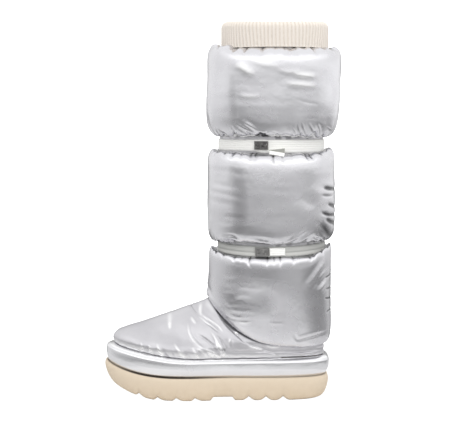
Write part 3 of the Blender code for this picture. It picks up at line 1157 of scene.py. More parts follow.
@dataclass
class Outsole(SolePiece):
    """Foamed outsole with cross lugs, a raised arch, toe spring and a rounded side."""

    back: float = 0.0
    front: float = SOLE_LENGTH
    heel_half: float = 45.0
    ball_half: float = 53.5
    side: tuple[Edge, ...] = (
        Edge(0.0, 12.0, 14.0, 6.5),
        Edge(0.06, 8.0, 9.0, 4.0),
        Edge(0.16, 5.2, 6.0, 2.6),
        Edge(0.32, 2.8, 3.2, 1.4),
        Edge(0.55, 0.9, 0.9, 0.4),
        Edge(0.76, 0.0, 0.0, 0.0),
        Edge(0.93, 0.8, 0.8, 0.6),
        Edge(1.0, 2.8, 2.8, 2.4),
    )
    notch_rows: tuple[Notches, ...] = (
        Notches(161.4, 22.5, 4, 5.0, 10.0, 3.7),
        Notches(55.9, 20.5, 3, 8.5, 8.5, 4.9),
    )
    notch_power: float = 1.8
    arch: Span = (112.9, 143.1)
    arch_depth: float = 4.2
    arch_slope: float = 4.0
    # Height of the painted shade under the joint with the midsole, and the angle above which an edge
    # stays sharp
    joint_mm: float = 0.28
    sharp: float = 50.0

    def low_up(self, forward: Array) -> Array:
        """Height of the tread: flat lugs on the floor, notches, raised arch and toe spring.

        Args:
            forward: Forward places.

        Returns:
            The tread's height at each place.
        """
        up = FLOOR_SPRING.up(forward) + sum(row.up(forward, self.notch_power) for row in self.notch_rows)
        in_arch = np.minimum(forward - self.arch[0], self.arch[1] - forward)
        return up + self.arch_depth * smooth_step(in_arch / self.arch_slope)

    def top_up(self, forward: Array) -> Array:
        """Height of the top."""
        return joint_up(forward)

    def build(self, finish: FoamRubber) -> None:
        """Makes the outsole, with painted shade under its joint.

        Args:
            finish: Its foamed rubber.
        """
        grid = self.grid()
        forward = forward_of(grid)
        below = np.clip(joint_up(forward) - grid[..., 2], 0.0, None)
        patch = Patch(grid, Closing.TUBE, {"joint": bell(below, self.joint_mm) * joint_shade(forward)})
        piece = make_piece("outsole_moulded", [patch], [finish.material()], self.sharp)
        register(piece, "foam_outsole", "outsole")


@dataclass
class Midsole(SolePiece):
    """Platform wrapped in foil cloth, a soft roll that bulges above its middle."""

    back: float = -0.9
    front: float = 270.3
    heel_half: float = 45.0
    ball_half: float = 53.0
    side: tuple[Edge, ...] = (
        Edge(0.0, 5.0, 2.4, 4.2),
        Edge(0.16, 2.6, 1.2, 2.2),
        Edge(0.33, 0.9, 0.5, 0.75),
        Edge(0.46, 0.2, 0.1, 0.15),
        Edge(0.62, 0.0, 0.0, 0.0),
        Edge(0.76, 0.12, 0.4, 0.12),
        Edge(0.86, 1.0, 2.0, 1.1),
        Edge(0.94, 2.4, 4.6, 3.2),
        Edge(1.0, 4.5, 8.5, 6.5),
    )
    ripple_mm: float = 0.16
    ripple_cells: Span = (5.0, 7.0)
    # Share of the side that takes painted shade along the joint with the outsole and the least of that
    # shade there, and the place, width and strength of a painted highlight on the roll's shoulder
    joint_share: float = 0.036
    joint_least: float = 0.3
    shoulder_at: float = 0.88
    shoulder_share: float = 0.1
    shoulder_highlight: float = 0.6
    sharp: float = 50.0

    def build(self, finish: FoilCloth) -> None:
        """Makes the wrapped platform, with faint ripples where the cloth is drawn round it, painted shade
        along its joint and a painted highlight on its shoulder.

        Args:
            finish: Its foil cloth.
        """
        plain = self.grid()
        side = slice(self.cap_rows, self.cap_rows + self.rows)
        side_only, height = np.zeros((len(plain), 1)), np.zeros((len(plain), 1))
        side_only[side, 0] = np.sin(np.linspace(0.0, math.pi, self.rows))
        height[side, 0] = np.linspace(0.0, 1.0, self.rows)
        height[side.stop :] = 1.0
        ripple = self.ripple_mm * cloth_noise(plain.shape[:2], self.ripple_cells, Seed.PLATFORM_RIPPLE)
        grid = plain + surface_normals(plain) * (ripple * side_only)[..., None]
        # Painted shade along the joint with the outsole, less a painted highlight on the roll's shoulder
        painted_shade = self.joint_least + (1.0 - self.joint_least) * joint_shade(forward_of(grid))
        shoulder = bell(height - self.shoulder_at, self.shoulder_share, 4)
        fold = bell(height, self.joint_share) * painted_shade - self.shoulder_highlight * shoulder
        patch = Patch(grid, Closing.TUBE, {"fold": fold})
        piece = make_piece("midsole_wrapped", [patch], [finish.material()], self.sharp)
        register(piece, "foil_cloth_wrap", "midsole")


VAMP_EDGE = Crease(
    path=(
        *((146.0, 128.0), (142.3, 121.4), (137.2, 108.8), (125.4, 90.6)),
        *((111.7, 77.8), (101.1, 68.9), (80.2, 61.1), (60.0, 52.0)),
    ),
    rise=1.2,
    half_width=1.3,
)
# Each crease's last number is painted shade, and below 0 a painted highlight
FOOT_CREASES = (
    # Vamp seam and the long fold that runs on from it, with painted highlights on its two crests
    Crease(((171.5, 115.5), (168.0, 110.4), (163.5, 105.2), (157.8, 100.9)), -0.7, 1.0, 0.3, 0.75),
    Crease(((157.0, 100.6), (147.0, 94.6), (138.8, 89.8), (131.0, 84.0)), -0.9, 1.5, 0.3, 0.2),
    Crease(
        ((157.3, 98.8), (151.2, 95.2), (146.5, 91.5), (141.2, 88.4), (133.0, 82.2)), 0.7, 1.2, 0.2, -0.82
    ),
    Crease(
        ((153.8, 100.5), (147.8, 96.6), (138.9, 91.5), (131.0, 85.7), (127.6, 81.5)), 0.6, 1.1, 0.2, -0.78
    ),
    # Glints on the instep and the vamp
    Crease(((154.5, 112.0), (155.1, 105.8), (154.0, 99.6)), 0.7, 1.9, 0.3, -0.7),
    Crease(((166.6, 97.6), (160.0, 90.0)), 0.6, 1.6, 0.3, -0.66),
    Crease(((192.4, 100.0), (191.6, 92.4), (191.6, 84.2)), 0.4, 2.4, 0.3, -0.4),
    Crease(((191.9, 91.0), (191.4, 83.5)), 0.3, 1.6, 0.3, -0.5),
    # Long fold down the flank
    Crease(
        ((169.8, 92.0), (168.5, 81.6), (164.3, 74.1), (155.8, 65.8), (148.0, 60.0)), 0.9, 1.6, 0.3, -0.55
    ),
    Crease(((166.4, 88.0), (164.6, 80.0), (158.0, 71.5), (148.0, 63.5)), -0.4, 2.6, 0.3),
    Crease(
        ((156.7, 78.2), (147.3, 72.7), (138.2, 65.0), (134.8, 60.8), (132.5, 55.5)), -0.8, 1.1, 0.3, 0.42
    ),
    # Folds drawn down to the feather line behind the ball
    Crease(
        ((142.0, 82.3), (135.5, 71.5), (134.2, 66.5), (129.1, 57.7), (126.0, 52.5)), 0.8, 1.3, 0.3, -0.82
    ),
    Crease(((134.8, 70.8), (131.4, 65.4), (127.6, 60.8), (122.8, 53.0)), 0.8, 1.1, 0.3, -0.82),
    Crease(((133.6, 66.9), (130.6, 62.7), (127.0, 57.5)), -0.6, 0.7, 0.1, 0.45),
    Crease(((134.8, 77.3), (130.6, 72.7), (127.6, 66.9), (121.0, 53.5)), -0.7, 1.1, 0.2, 0.42),
    Crease(((148.8, 62.8), (144.3, 58.5), (139.6, 53.2)), 0.8, 1.5, 0.3, -0.82),
    Crease(((143.6, 61.6), (138.2, 57.3), (131.5, 52.0)), 0.8, 1.2, 0.3, -0.82),
    Crease(((159.5, 64.0), (154.5, 60.8), (149.9, 57.7), (146.0, 52.4)), 0.7, 1.2, 0.3, -0.61),
    Crease(((119.4, 75.0), (119.8, 68.5)), 0.6, 1.3, 0.3, -0.61),
    Crease(((118.1, 69.2), (116.6, 63.8), (113.9, 59.6), (110.1, 54.6)), -0.4, 1.2, 0.3, 0.25),
    # Gathers above the feather line
    Crease(((206.6, 68.5), (202.8, 59.6), (199.4, 51.8)), 0.8, 1.5, 0.3, -0.7),
    Crease(((216.4, 67.0), (213.6, 58.1)), 0.6, 1.1, 0.3, -0.7),
    Crease(((220.7, 66.0), (221.8, 57.6)), -0.6, 0.9, 0.3, 0.4),
    Crease(((217.3, 66.4), (218.2, 56.9)), -0.6, 0.9, 0.3, 0.4),
    Crease(((196.7, 58.1), (191.6, 52.4)), -0.7, 0.9, 0.3, 0.7),
    Crease(((186.0, 68.5), (180.6, 61.4), (173.2, 51.5)), 0.8, 1.4, 0.3, -0.7),
    Crease(((209.6, 60.0), (208.6, 53.8)), -0.6, 0.9, 0.3, 0.4),
    Crease(((204.0, 66.0), (198.0, 60.0), (193.0, 52.0)), -0.5, 1.2, 0.3, 0.35),
    Crease(((178.0, 66.0), (172.0, 59.0), (166.5, 52.0)), -0.5, 1.2, 0.3, 0.35),
    Crease(((165.0, 66.0), (161.0, 59.0), (157.0, 52.0)), 0.6, 1.2, 0.3, -0.5),
    Crease(((226.0, 70.0), (224.0, 60.0)), 0.5, 1.1, 0.3, -0.5),
    Crease(((188.0, 59.0), (184.6, 52.6)), -0.6, 0.9, 0.3, 0.4),
    # Glints on the quarter, painted shade in the gap under the hem, and a painted highlight on the knot
    # of its thread
    Crease(((97.4, 65.7), (88.3, 63.4), (80.3, 61.1)), 0.7, 1.5, 0.3, -0.74),
    Crease(((76.9, 66.2), (70.1, 63.9), (59.8, 63.4)), 0.5, 1.5, 0.3, -0.66),
    Crease(((129.5, 100.0), (120.1, 90.4), (110.5, 82.6)), -0.4, 2.0, 0.1, 1.0),
    Crease(((113.2, 82.8), (109.6, 79.6)), 0.9, 1.3, 0.1, -1.8),
    # Swells of the instep and the vamp, with painted highlights
    Crease(
        ((228.0, 88.5), (210.0, 95.5), (190.0, 102.5), (172.0, 109.5), (150.0, 118.0)), 0.7, 9.0, 0.0, -0.25
    ),
    Crease(((150.0, 114.0), (142.0, 110.0), (138.0, 102.0)), 0.2, 5.0, 0.0, -0.35),
    # Broad hollows of the vamp, two of them with painted shade
    Crease(((232.0, 84.0), (226.0, 74.0), (214.0, 68.0)), -0.6, 6.0, 0.3),
    Crease(((205.0, 84.0), (196.0, 74.0)), -0.5, 5.0, 0.3, 0.12),
    Crease(((181.0, 84.0), (178.0, 74.0), (176.0, 66.0)), -0.5, 4.0, 0.3, 0.2),
)


@dataclass
class Upper:
    """Foot and shaft in foil cloth with a fleece lining, one wall open at the collar and underneath."""

    columns: int = 320
    foot_rows: int = 150
    shaft_rows: int = 36
    lining_rows: int = 44
    gaiter_level: float = 8.4
    top_level: float = 15.0
    sharp: float = 70.0
    # Gathers above the feather edge: depth, reach, the height over which they start, and cells of their
    # noise
    gather_mm: float = 0.5
    gather_reach: float = 7.0
    gather_start: float = 1.5
    gather_cells: Span = (14.0, 1.4)
    # Dimples of the foot: depth, the height over which they start, and cells of their noise
    dimple_mm: float = 0.3
    dimple_start: float = 8.0
    dimple_cells: Span = (12.0, 9.0)
    # Upright folds in the strap channels: heights, reach, depth, cells of their noise, and the painted shade
    # in their troughs with its limit
    channel_ups: Span = (191.0, 314.0)
    channel_reach: float = 6.0
    channel_mm: float = 0.5
    channel_cells: Span = (60.0, 1.5)
    channel_dark: float = 0.4
    channel_most: float = 0.6
    # Shadow under the gaiter's hem: level of its seam, how far under it the shadow lies, its width and
    # darkness, the share of it at the heel, the forward places over which it grows, and the height where
    # it ends
    hem_level: float = 7.0
    hem_under: float = 0.4
    hem_mm: float = 0.55
    hem_dark: float = 1.3
    hem_least: float = 0.35
    hem_span: Span = (30.0, 70.0)
    hem_top: float = 125.0
    # Shade in the feather line: height, darkness, the share of it at the heel and the places over which
    # it grows
    feather_mm: float = 0.8
    feather_dark: float = 0.95
    feather_least: float = 0.2
    feather_span: Span = (40.0, 90.0)
    # Levels over which the cloth drawn tight above it eases, the strength of its painted highlight, and the
    # height over which it starts
    tight_levels: Span = (0.5, 1.3)
    tight_highlight: float = 0.55
    tight_start: float = 2.0
    # Rise of the vamp's top line above the last, the forward place of its middle and its reach
    swell_mm: float = 1.3
    swell_at: float = 188.0
    swell_reach: float = 45.0
    # Fine folds of the instep: middle, slope in degrees, reach across and along, number, pitches, drifts,
    # depth, and the forward place about which the inner side's are turned front to back
    fold_at: Span = (150.0, 80.0)
    fold_slope: float = 43.0
    fold_reach: Span = (26.0, 34.0)
    fold_waves: int = 7
    fold_pitch: Span = (6.0, 15.0)
    fold_drift: Span = (-0.012, 0.012)
    fold_mm: float = 0.13
    mirror_at: float = 166.0
    # Edge of the vamp, a step down behind its path, and the height up to which it runs
    vamp_edge: Crease = VAMP_EDGE
    edge_top: float = 140.0
    creases: tuple[Crease, ...] = FOOT_CREASES

    def channels(self, grid: Array) -> Array:
        """Relief of the cloth drawn together in the strap channels: seeded upright folds near their tops.

        Args:
            grid: The plain foot and shaft, in millimetres.

        Returns:
            Relief in millimetres, rows by columns.
        """
        folds = cloth_noise(grid.shape[:2], self.channel_cells, Seed.CHANNEL_FOLDS)
        near = sum(bell(grid[..., 2] - up, self.channel_reach) for up in self.channel_ups)
        return self.channel_mm * folds * near

    def hem_shadow(self, grid: Array, turns: Array) -> Array:
        """Darkness under the gaiter's hem: a bell of the height below its seam, fading towards the heel.

        Args:
            grid: The plain foot and shaft, in millimetres.
            turns: Angles of its columns.

        Returns:
            Share of the light that is lost, rows by columns.
        """
        seam = LAST.surface(np.array([self.hem_level]), turns)
        below = np.abs(seam[..., 2] - self.hem_under - grid[..., 2])
        fore = self.hem_least + (1.0 - self.hem_least) * ramp(forward_of(grid), self.hem_span)
        return self.hem_dark * bell(below, self.hem_mm) * fore * (grid[..., 2] < self.hem_top)

    def feather_shade(self, grid: Array, levels: Array) -> Array:
        """Painted shade in the feather line, a bell of the height above it, less the tight cloth's painted
        highlight.

        Args:
            grid: The plain foot and shaft, in millimetres.
            levels: Levels of its rows.

        Returns:
            Share of the light that is lost, or gained where it is below 0, rows by columns.
        """
        above = grid[..., 2] - grid[:1, :, 2]
        fore = self.feather_least + (1.0 - self.feather_least) * ramp(forward_of(grid), self.feather_span)
        line = self.feather_dark * bell(above, self.feather_mm) * fore
        ease = ramp(levels, self.tight_levels[::-1])[:, None]
        highlight_and_polish = self.tight_highlight * ease * smooth_step(above / self.tight_start)
        return np.where(above > 2.0 * self.feather_mm, 0.0, line) - highlight_and_polish

    def relief(self, grid: Array) -> Array:
        """Relief of the foot's cloth: gathers at the feather edge, dimples, fine folds and the vamp's edge.

        Args:
            grid: The plain foot and shaft, in millimetres.

        Returns:
            Relief in millimetres, rows by columns.
        """
        forward, up = forward_of(grid), grid[..., 2]
        above = np.clip(up - grid[:1, :, 2], 0.0, None)
        gathers = self.gather_mm * cloth_noise(grid.shape[:2], self.gather_cells, Seed.FOOT_GATHERS)
        dimples = self.dimple_mm * cloth_noise(grid.shape[:2], self.dimple_cells, Seed.FOOT_DIMPLES)
        relief = gathers * np.exp(-above / self.gather_reach) * smooth_step(above / self.gather_start)
        relief += dimples * smooth_step(above / self.dimple_start)
        relief += self.folds(forward, up) * side_share(grid, Side.OUTER)
        relief += self.folds(2.0 * self.mirror_at - forward, up) * side_share(grid, Side.INNER)
        away, _, side = self.vamp_edge.nearest(forward, up)
        step = smooth_step(0.5 + 0.5 * side * away / self.vamp_edge.half_width)
        return relief - self.vamp_edge.rise * (1.0 - step) * (up < self.edge_top)

    def folds(self, forward: Array, up: Array) -> Array:
        """Fine folds of the instep: seeded waves across the main creases that fade away from the instep.

        Args:
            forward: Forward places.
            up: Heights.

        Returns:
            Relief in millimetres at each place.
        """
        rng = np.random.default_rng(Seed.INSTEP_FOLDS)
        slope = math.radians(self.fold_slope)
        from_f, from_u = forward - self.fold_at[0], up - self.fold_at[1]
        along = from_f * math.cos(slope) + from_u * math.sin(slope)
        across = from_f * math.sin(slope) - from_u * math.cos(slope)
        relief = np.zeros(forward.shape)
        spans = (self.fold_pitch, self.fold_drift, (0.0, 2.0 * math.pi))
        for _ in range(self.fold_waves):
            pitch, drift, phase = (rng.uniform(*span) for span in spans)
            relief += np.cos(2.0 * math.pi * (across / pitch + along * drift) + phase)
        near = np.exp(-((across / self.fold_reach[0]) ** 2) - (along / self.fold_reach[1]) ** 2)
        return self.fold_mm * relief / math.sqrt(self.fold_waves) * near

    def build(self, foil: FoilCloth, fleece: Fleece) -> None:
        """Makes the upper: outer cloth from feather edge to collar, and the lining back down inside.

        Args:
            foil: Finish of the outside.
            fleece: Finish of the lining.
        """
        foot = np.linspace(0.0, self.gaiter_level, self.foot_rows)
        shaft = np.linspace(self.gaiter_level, self.top_level, self.shaft_rows)[1:]
        levels, turns = np.concatenate([foot, shaft]), even_turns(self.columns)
        plain = LAST.surface(levels, turns)
        placed = sum(crease_shape(plain, self.creases, side) for side in Side)
        drawn = self.channels(plain)
        look = surface_normals(plain)
        top = bell(forward_of(plain) - self.swell_at, self.swell_reach)
        swell = self.swell_mm * top * np.clip(look[..., 2], 0.0, 1.0) ** 2
        outer = plain + look * (self.relief(plain) + placed[..., 0] + drawn + swell)[..., None]
        # Painted shade in the troughs of the channel folds
        channel = np.clip(-self.channel_dark * drawn / self.channel_mm, 0.0, self.channel_most)
        # Painted shade of channels, creases, hem and feather line, less painted highlights
        painted_shade = channel + placed[..., 1] + self.hem_shadow(plain, turns) + self.feather_shade(plain, levels)
        lining = LAST.surface(np.linspace(self.top_level, 0.0, self.lining_rows), turns)
        inner = lining + surface_normals(lining) * UPPER_WALL
        shared = np.concatenate([outer[-1:], inner, outer[:1]])
        marks = {"fold": np.clip(painted_shade, -1.0, 1.0)}
        patches = [Patch(outer, Closing.TUBE, marks), Patch(shared, Closing.TUBE, material=1)]
        piece = make_piece("upper_foil_cloth", patches, [foil.material(), fleece.material()], self.sharp)
        register(piece, "foil_cloth_upper", "upper")


def draw_thread(gap: Array, rest: Array, share: float) -> Array:
    """How far threads are drawn towards their cut length: a share of their stretch, along their gap."""
    return gap * (share * (1.0 - rest / np.linalg.norm(gap, axis=2)))[..., None]


@dataclass
class StuffedRing:
    """One stuffed ring of the shaft, sewn down along two rings of the form and blown up by its filling."""

    node: str
    seed: Seed
    creases: tuple[Crease, ...]
    # Levels of the two seams, and thickness in front, behind, at the sides, at the corners between and at
    # the seams
    low_level: float
    top_level: float
    front_thick: float
    back_thick: float
    side_thick: float
    corner_thick: float
    low_hem: float
    top_hem: float
    # Squareness of the section below and above, dip of the sides, and rise of the lips in front and
    # behind
    low_square: float
    side_dip: float
    low_lips: Span
    top_lips: Span
    top_square: float = 4.0
    # Share of the creases that the inner side has, and the forward place about which they are turned
    # there
    inner_share: float = 0.5
    mirror_at: float = 69.0
    columns: int = 480
    pitch: float = 1.1
    section_points: int = 4001
    least_rows: int = 24
    tube_rows: int = 60
    inner_rows: int = 14
    sharp: float = 80.0
    fill: float = 0.8
    # Ease of the cloth round the ring and up it, how uneven it is, and the cells of that
    ease_round: float = 0.02
    ease_up: float = 0.03
    uneven: float = 0.03
    uneven_cells: Span = (12.0, 14.0)
    # Ripples that the cloth starts with: height, cells and number of the seed
    start_ripples: tuple[tuple[float, Span, int], ...] = ((0.8, (5.0, 4.0), 0), (0.5, (8.0, 9.0), 2))
    # The settling: stiffness, push of the filling, share of its motion that the cloth keeps, shares of a
    # stretch drawn in along straight and slanting threads, share of a row's bend taken out, steps and
    # passes
    stiffness: float = 0.5
    push: float = 0.02
    motion: float = 0.85
    thread_share: float = 0.45
    slant_share: float = 0.06
    bend_share: float = 0.1
    steps: int = 160
    passes: int = 2
    # Cells over which the settled cloth is held to the pillow's form, how often, how far and how closely
    hold: float = 10.0
    hold_every: int = 10
    hold_share: float = 0.5
    hold_blur: float = 0.9
    # Relief of the shoulders, of the filling's lumps and of the streaks, and the cells of each
    shoulder_mm: float = 1.2
    shoulder_cells: Span = (40.0, 9.0)
    lump_mm: float = 0.18
    lump_cells: Span = (9.0, 12.0)
    streak_mm: float = 0.06
    streak_cells: Span = (2.2, 16.0)
    streak_patch: Span = (9.0, 16.0)
    # Mean distance between the gathers of the lower seam, their shift in pitches, their strengths, reach
    # and depth of the gathers of both seams in the face, the power of its strength in a gather's length
    # and the part of it in its depth, its slant, taper and widening
    gather_pitch: float = 5.5
    gather_shift: float = 0.45
    gather_strength: Span = (0.2, 1.2)
    gather_reaches: Span = (9.0, 7.0)
    gather_depths: Span = (1.0, 1.0)
    gather_power: float = 1.5
    gather_by: Span = (0.4, 0.9)
    gather_slant: float = 0.35
    gather_taper: float = 0.8
    gather_widen: float = 0.05
    # Scallops of the cloth between the gathers of the upper seam: mean pitch, height, reach of a dip to
    # both sides, their width up the cloth, the way from the seam up to the crest of the shoulder, and
    # that round the lower curl
    scallop_pitch: float = 13.0
    scallop_mm: float = 3.4
    scallop_reach: float = 3.6
    scallop_width: float = 5.5
    crest_mm: float = 9.0
    curl_mm: float = 7.0
    # Depth of a fold whose painted shade is black, the width and painted shade of the hollow along the upper
    # seam, and the power by which relief fades at both seams
    fold_dark: float = 1.9
    hollow_mm: float = 6.5
    hollow_dark: float = 0.5
    seam_fade: float = 0.3

    def ends(self, shares: Array) -> tuple[Array, Array]:
        """How far places are the ring's front and its back: the square of the way there from the sides."""
        return np.clip(2.0 * shares - 1.0, 0.0, None) ** 2, np.clip(1.0 - 2.0 * shares, 0.0, None) ** 2

    def thickness(self, shares: Array) -> Array:
        """Thickness round the ring: its own in front, behind and at the sides, more at the corners between.

        Args:
            shares: Shares of the way from back to front.

        Returns:
            Thickness in millimetres at each share.
        """
        fore, rear = self.ends(shares)
        side = 1.0 - fore - rear
        corner = 4.0 * side * (fore + rear)
        thick = self.front_thick * fore + self.back_thick * rear + self.side_thick * side
        return thick + self.corner_thick * corner

    def profile(self, length: float, thick: float) -> tuple[Array, Array, Array]:
        """The pillow's section, evenly spaced along its cloth: a superellipse between its two seams.

        Args:
            length: Height of the tube behind it.
            thick: Its mean thickness.

        Returns:
            For each row of cloth the turn in the section, its reach from -1 to 1 and its swell from 0 to 1.
        """
        turn = np.linspace(-math.pi / 2, math.pi / 2, self.section_points)
        square = np.where(turn > 0.0, self.top_square, self.low_square)
        swell = np.clip(np.cos(turn), 0.0, 1.0) ** (2.0 / square)
        reach = np.sign(turn) * np.abs(np.sin(turn)) ** (2.0 / square)
        run = np.hypot(np.diff(reach) * length / 2.0, np.diff(swell) * thick)
        cloth = np.concatenate([[0.0], np.cumsum(run)])
        even = np.linspace(0.0, cloth[-1], max(int(cloth[-1] / self.pitch), self.least_rows))
        return np.interp(even, cloth, turn), np.interp(even, cloth, reach), np.interp(even, cloth, swell)

    def faces(self) -> tuple[Array, Array, Array]:
        """The pillow's outer face, the sleeve that its cloth is cut as, and the tube behind it.

        Returns:
            The face drawn in to its seams, the same face standing off fully all the way, and the inner wall.
        """
        turns = even_turns(self.columns)
        rows = LAST.surface(np.linspace(self.low_level, self.top_level, self.tube_rows), turns)
        looks, lengths = surface_normals(rows), column_lengths(rows)
        shares = (1.0 - np.cos(turns)) / 2.0
        thick = self.thickness(shares)
        turn, reach, swell = self.profile(up_steps(rows).sum(axis=0).mean(), thick.mean())
        fore, rear = self.ends(shares)
        upper = (turn > 0.0)[:, None]
        hem = np.where(upper, self.top_hem, self.low_hem)
        top_lip, low_lip = (lips[0] * fore + lips[1] * rear for lips in (self.top_lips, self.low_lips))
        lip = np.where(upper, top_lip, low_lip)
        back = sample_columns(rows, lengths, (1.0 + reach) / 2.0)
        look = sample_columns(looks, lengths, (1.0 + reach) / 2.0)
        stand = hem + (thick - hem) * swell[:, None]
        face = back + look * stand[..., None]
        face[..., 2] += lip * np.sin(2.0 * turn)[:, None]
        dip = self.side_dip * (reach**4 * swell)[:, None] * (1.0 - fore - rear)
        face[..., 2] -= np.where(upper, dip, 0.0)
        wavy = cloth_noise(face.shape[:2], self.shoulder_cells, self.seed + 6)
        face[..., 2] += self.shoulder_mm * wavy * (np.abs(reach) ** 6 * swell**0.5)[:, None]
        sleeve = back + look * thick[None, :, None]
        wall = sample_columns(rows + looks * FIT_GAP, lengths, np.linspace(1.0, 0.0, self.inner_rows))
        return face, sleeve, wall

    def seam_marks(self, face: Array, pitch: float, seed: int) -> tuple[Array, Array]:
        """Seeded places along a seam.

        Args:
            face: The pillow's plain face.
            pitch: Mean distance between the places.
            seed: Seed of the places.

        Returns:
            Distance round the ring from each place to each column, and the strength of each place.
        """
        rng = np.random.default_rng(seed)
        step = round_steps(face).mean(axis=0)
        total = step.sum()
        count = int(total / pitch)
        place = (np.arange(count) + rng.uniform(-self.gather_shift, self.gather_shift, count)) * total / count
        away = (np.cumsum(step)[:, None] - place + total / 2.0) % total - total / 2.0
        return away, rng.uniform(*self.gather_strength, count)

    def settle(self, face: Array, sleeve: Array) -> Array:
        """Cloth of the ring, settled by position-based steps between its pinned seams.

        Each step moves the cloth on by its own motion and its filling's push, then draws every thread
        towards its cut length: round the ring the sleeve's, up it the face's, both with some ease. The
        surplus that the seams take in has to buckle, which makes the gathers. The cloth's stiffness damps
        each wave round the ring by the fourth power of its wave number, so short waves die out. A blurred
        copy is held to the pillow's form.

        Args:
            face: The pillow's plain face.
            sleeve: The uncut sleeve, for the lengths round the ring.

        Returns:
            The settled face.
        """
        shape = face.shape[:2]
        surplus = 1.0 + self.ease_round + self.uneven * cloth_noise(shape, self.uneven_cells, self.seed + 1)
        round_rest = round_steps(sleeve) * surplus
        up_rest = up_steps(face) * (1.0 + self.ease_up)
        slant_rest = np.hypot(round_rest[:-1], up_rest)
        wave = 2.0 - 2.0 * np.cos(2.0 * math.pi * np.fft.rfftfreq(shape[1]))
        keep = (1.0 / (1.0 + self.stiffness * wave**2))[None, :, None]
        start = sum(mm * cloth_noise(shape, cells, self.seed + n) for mm, cells, n in self.start_ripples)
        points = face + surface_normals(face) * start[..., None]
        before = points.copy()
        for step in range(self.steps):
            moved = points + self.motion * (points - before) + self.push * surface_normals(points)
            before, points = points, moved
            for _ in range(self.passes):
                pull = draw_thread(np.roll(points, -1, axis=1) - points, round_rest, self.thread_share)
                points = points + pull - np.roll(pull, 1, axis=1)
                pull = draw_thread(points[1:] - points[:-1], up_rest, self.thread_share)
                points[:-1] += pull
                points[1:] -= pull
                for shift in (-1, 1):
                    gap = np.roll(points[1:], shift, axis=1) - points[:-1]
                    pull = draw_thread(gap, slant_rest, self.slant_share)
                    points[:-1] += pull
                    points[1:] -= np.roll(pull, -shift, axis=1)
                points[0], points[-1] = face[0], face[-1]
            points[1:-1] = np.fft.irfft(np.fft.rfft(points[1:-1], axis=1) * keep, shape[1], axis=1)
            points[1:-1] += self.bend_share * ((points[2:] + points[:-2]) / 2.0 - points[1:-1])
            if step % self.hold_every == self.hold_every - 1:
                close = self.hold_blur * self.hold
                back = self.hold_share * blur(face - points, (close, close))
                points, before = points + back, before + back
                points[0], points[-1] = face[0], face[-1]
        return points + blur(face - points, (self.hold, self.hold))

    def lumps(self, shape: tuple[int, int]) -> Array:
        """Relief of the filling and the tight cloth: soft lumps, and patches of long streaks round the ring.

        Args:
            shape: Rows and columns of the face.

        Returns:
            Relief in millimetres, rows by columns.
        """
        lumps = cloth_noise(shape, self.lump_cells, self.seed + 3)
        streaks = cloth_noise(shape, self.streak_cells, self.seed + 4)
        patches = smooth_step(0.5 + 0.6 * cloth_noise(shape, self.streak_patch, self.seed + 5))
        return self.lump_mm * lumps + self.streak_mm * (streaks * patches)

    def gathers(self, face: Array) -> tuple[Array, Array]:
        """Relief of the gathers: narrow folds from seeded places of both seams, which die out in the face.

        Each is a bell across a slanting line, deepest at its seam, and the deeper the longer it is. At the
        upper seam the shoulder dips at each of them, in a cusp, and rises between them in scallops.

        Args:
            face: The pillow's plain face.

        Returns:
            Relief in millimetres along the face's outward directions, and rise in height, rows by columns.
        """
        up = np.concatenate([[0.0], np.cumsum(up_steps(face).mean(axis=1))])
        relief = np.zeros(face.shape[:2])
        seams = (
            (up, self.gather_pitch, self.curl_mm, self.gather_reaches[0]),
            (up[-1] - up, self.scallop_pitch, self.crest_mm, self.gather_reaches[1]),
        )
        for number, (height, pitch, hidden, reach) in enumerate(seams):
            away, strength = self.seam_marks(face, pitch, self.seed + 7 + number)
            length = hidden + reach * strength**self.gather_power
            rng = np.random.default_rng(self.seed + 9)
            slant = self.gather_slant * rng.standard_normal(len(strength))
            rows = np.flatnonzero(height < length.max())
            high = height[rows][:, None, None]
            taper = np.clip(1.0 - high / length, 0.0, 1.0) ** self.gather_taper
            depth = self.gather_depths[number] * (self.gather_by[0] + self.gather_by[1] * strength) * taper
            aslant = away - slant * np.clip(high - hidden, 0.0, None)
            across = aslant / (1.0 + self.gather_widen * high)
            relief[rows] -= (depth * np.exp(-(across**2))).sum(axis=-1)
        dips = (strength * np.exp(-np.abs(away) / self.scallop_reach)).sum(axis=1)
        near = bell(up[-1] - up - self.crest_mm, self.scallop_width)
        return relief, self.scallop_mm * near[:, None] * (dips.mean() - dips)

    def build(self, finish: FoilCloth) -> None:
        """Makes the stuffed ring: settled cloth with gathers and placed creases, closed by an inner wall.

        Args:
            finish: Its foil cloth.
        """
        face, sleeve, wall = self.faces()
        cloth = self.settle(face, sleeve)
        placed = crease_shape(face, self.creases, Side.OUTER)
        placed += self.inner_share * crease_shape(face, self.creases, Side.INNER, self.mirror_at)
        gathers, scallops = self.gathers(face)
        fade = np.sin(np.linspace(0.0, math.pi, len(face)))[:, None] ** self.seam_fade
        relief = (self.lumps(face.shape[:2]) + gathers + placed[..., 0]) * fade
        cloth = cloth + surface_normals(face) * relief[..., None]
        cloth[..., 2] += scallops
        # Painted shade in the hollow along the upper seam and in the gathers, with the creases' painted light
        from_seam = np.append(up_steps(face).mean(axis=1)[::-1].cumsum()[::-1], 0.0)
        hollow = self.hollow_dark * bell(from_seam, self.hollow_mm, 4)
        deep = np.clip(hollow[:, None] - gathers / self.fold_dark + placed[..., 1], -1.0, 1.0)
        marks = {"fold": np.concatenate([deep, np.zeros(wall.shape[:2])])}
        patch = Patch(np.concatenate([cloth, wall]), Closing.RING, marks)
        piece = make_piece(self.node + "_cloth", [patch], [finish.material()], self.sharp)
        register(piece, "foil_cloth_puff", self.node)


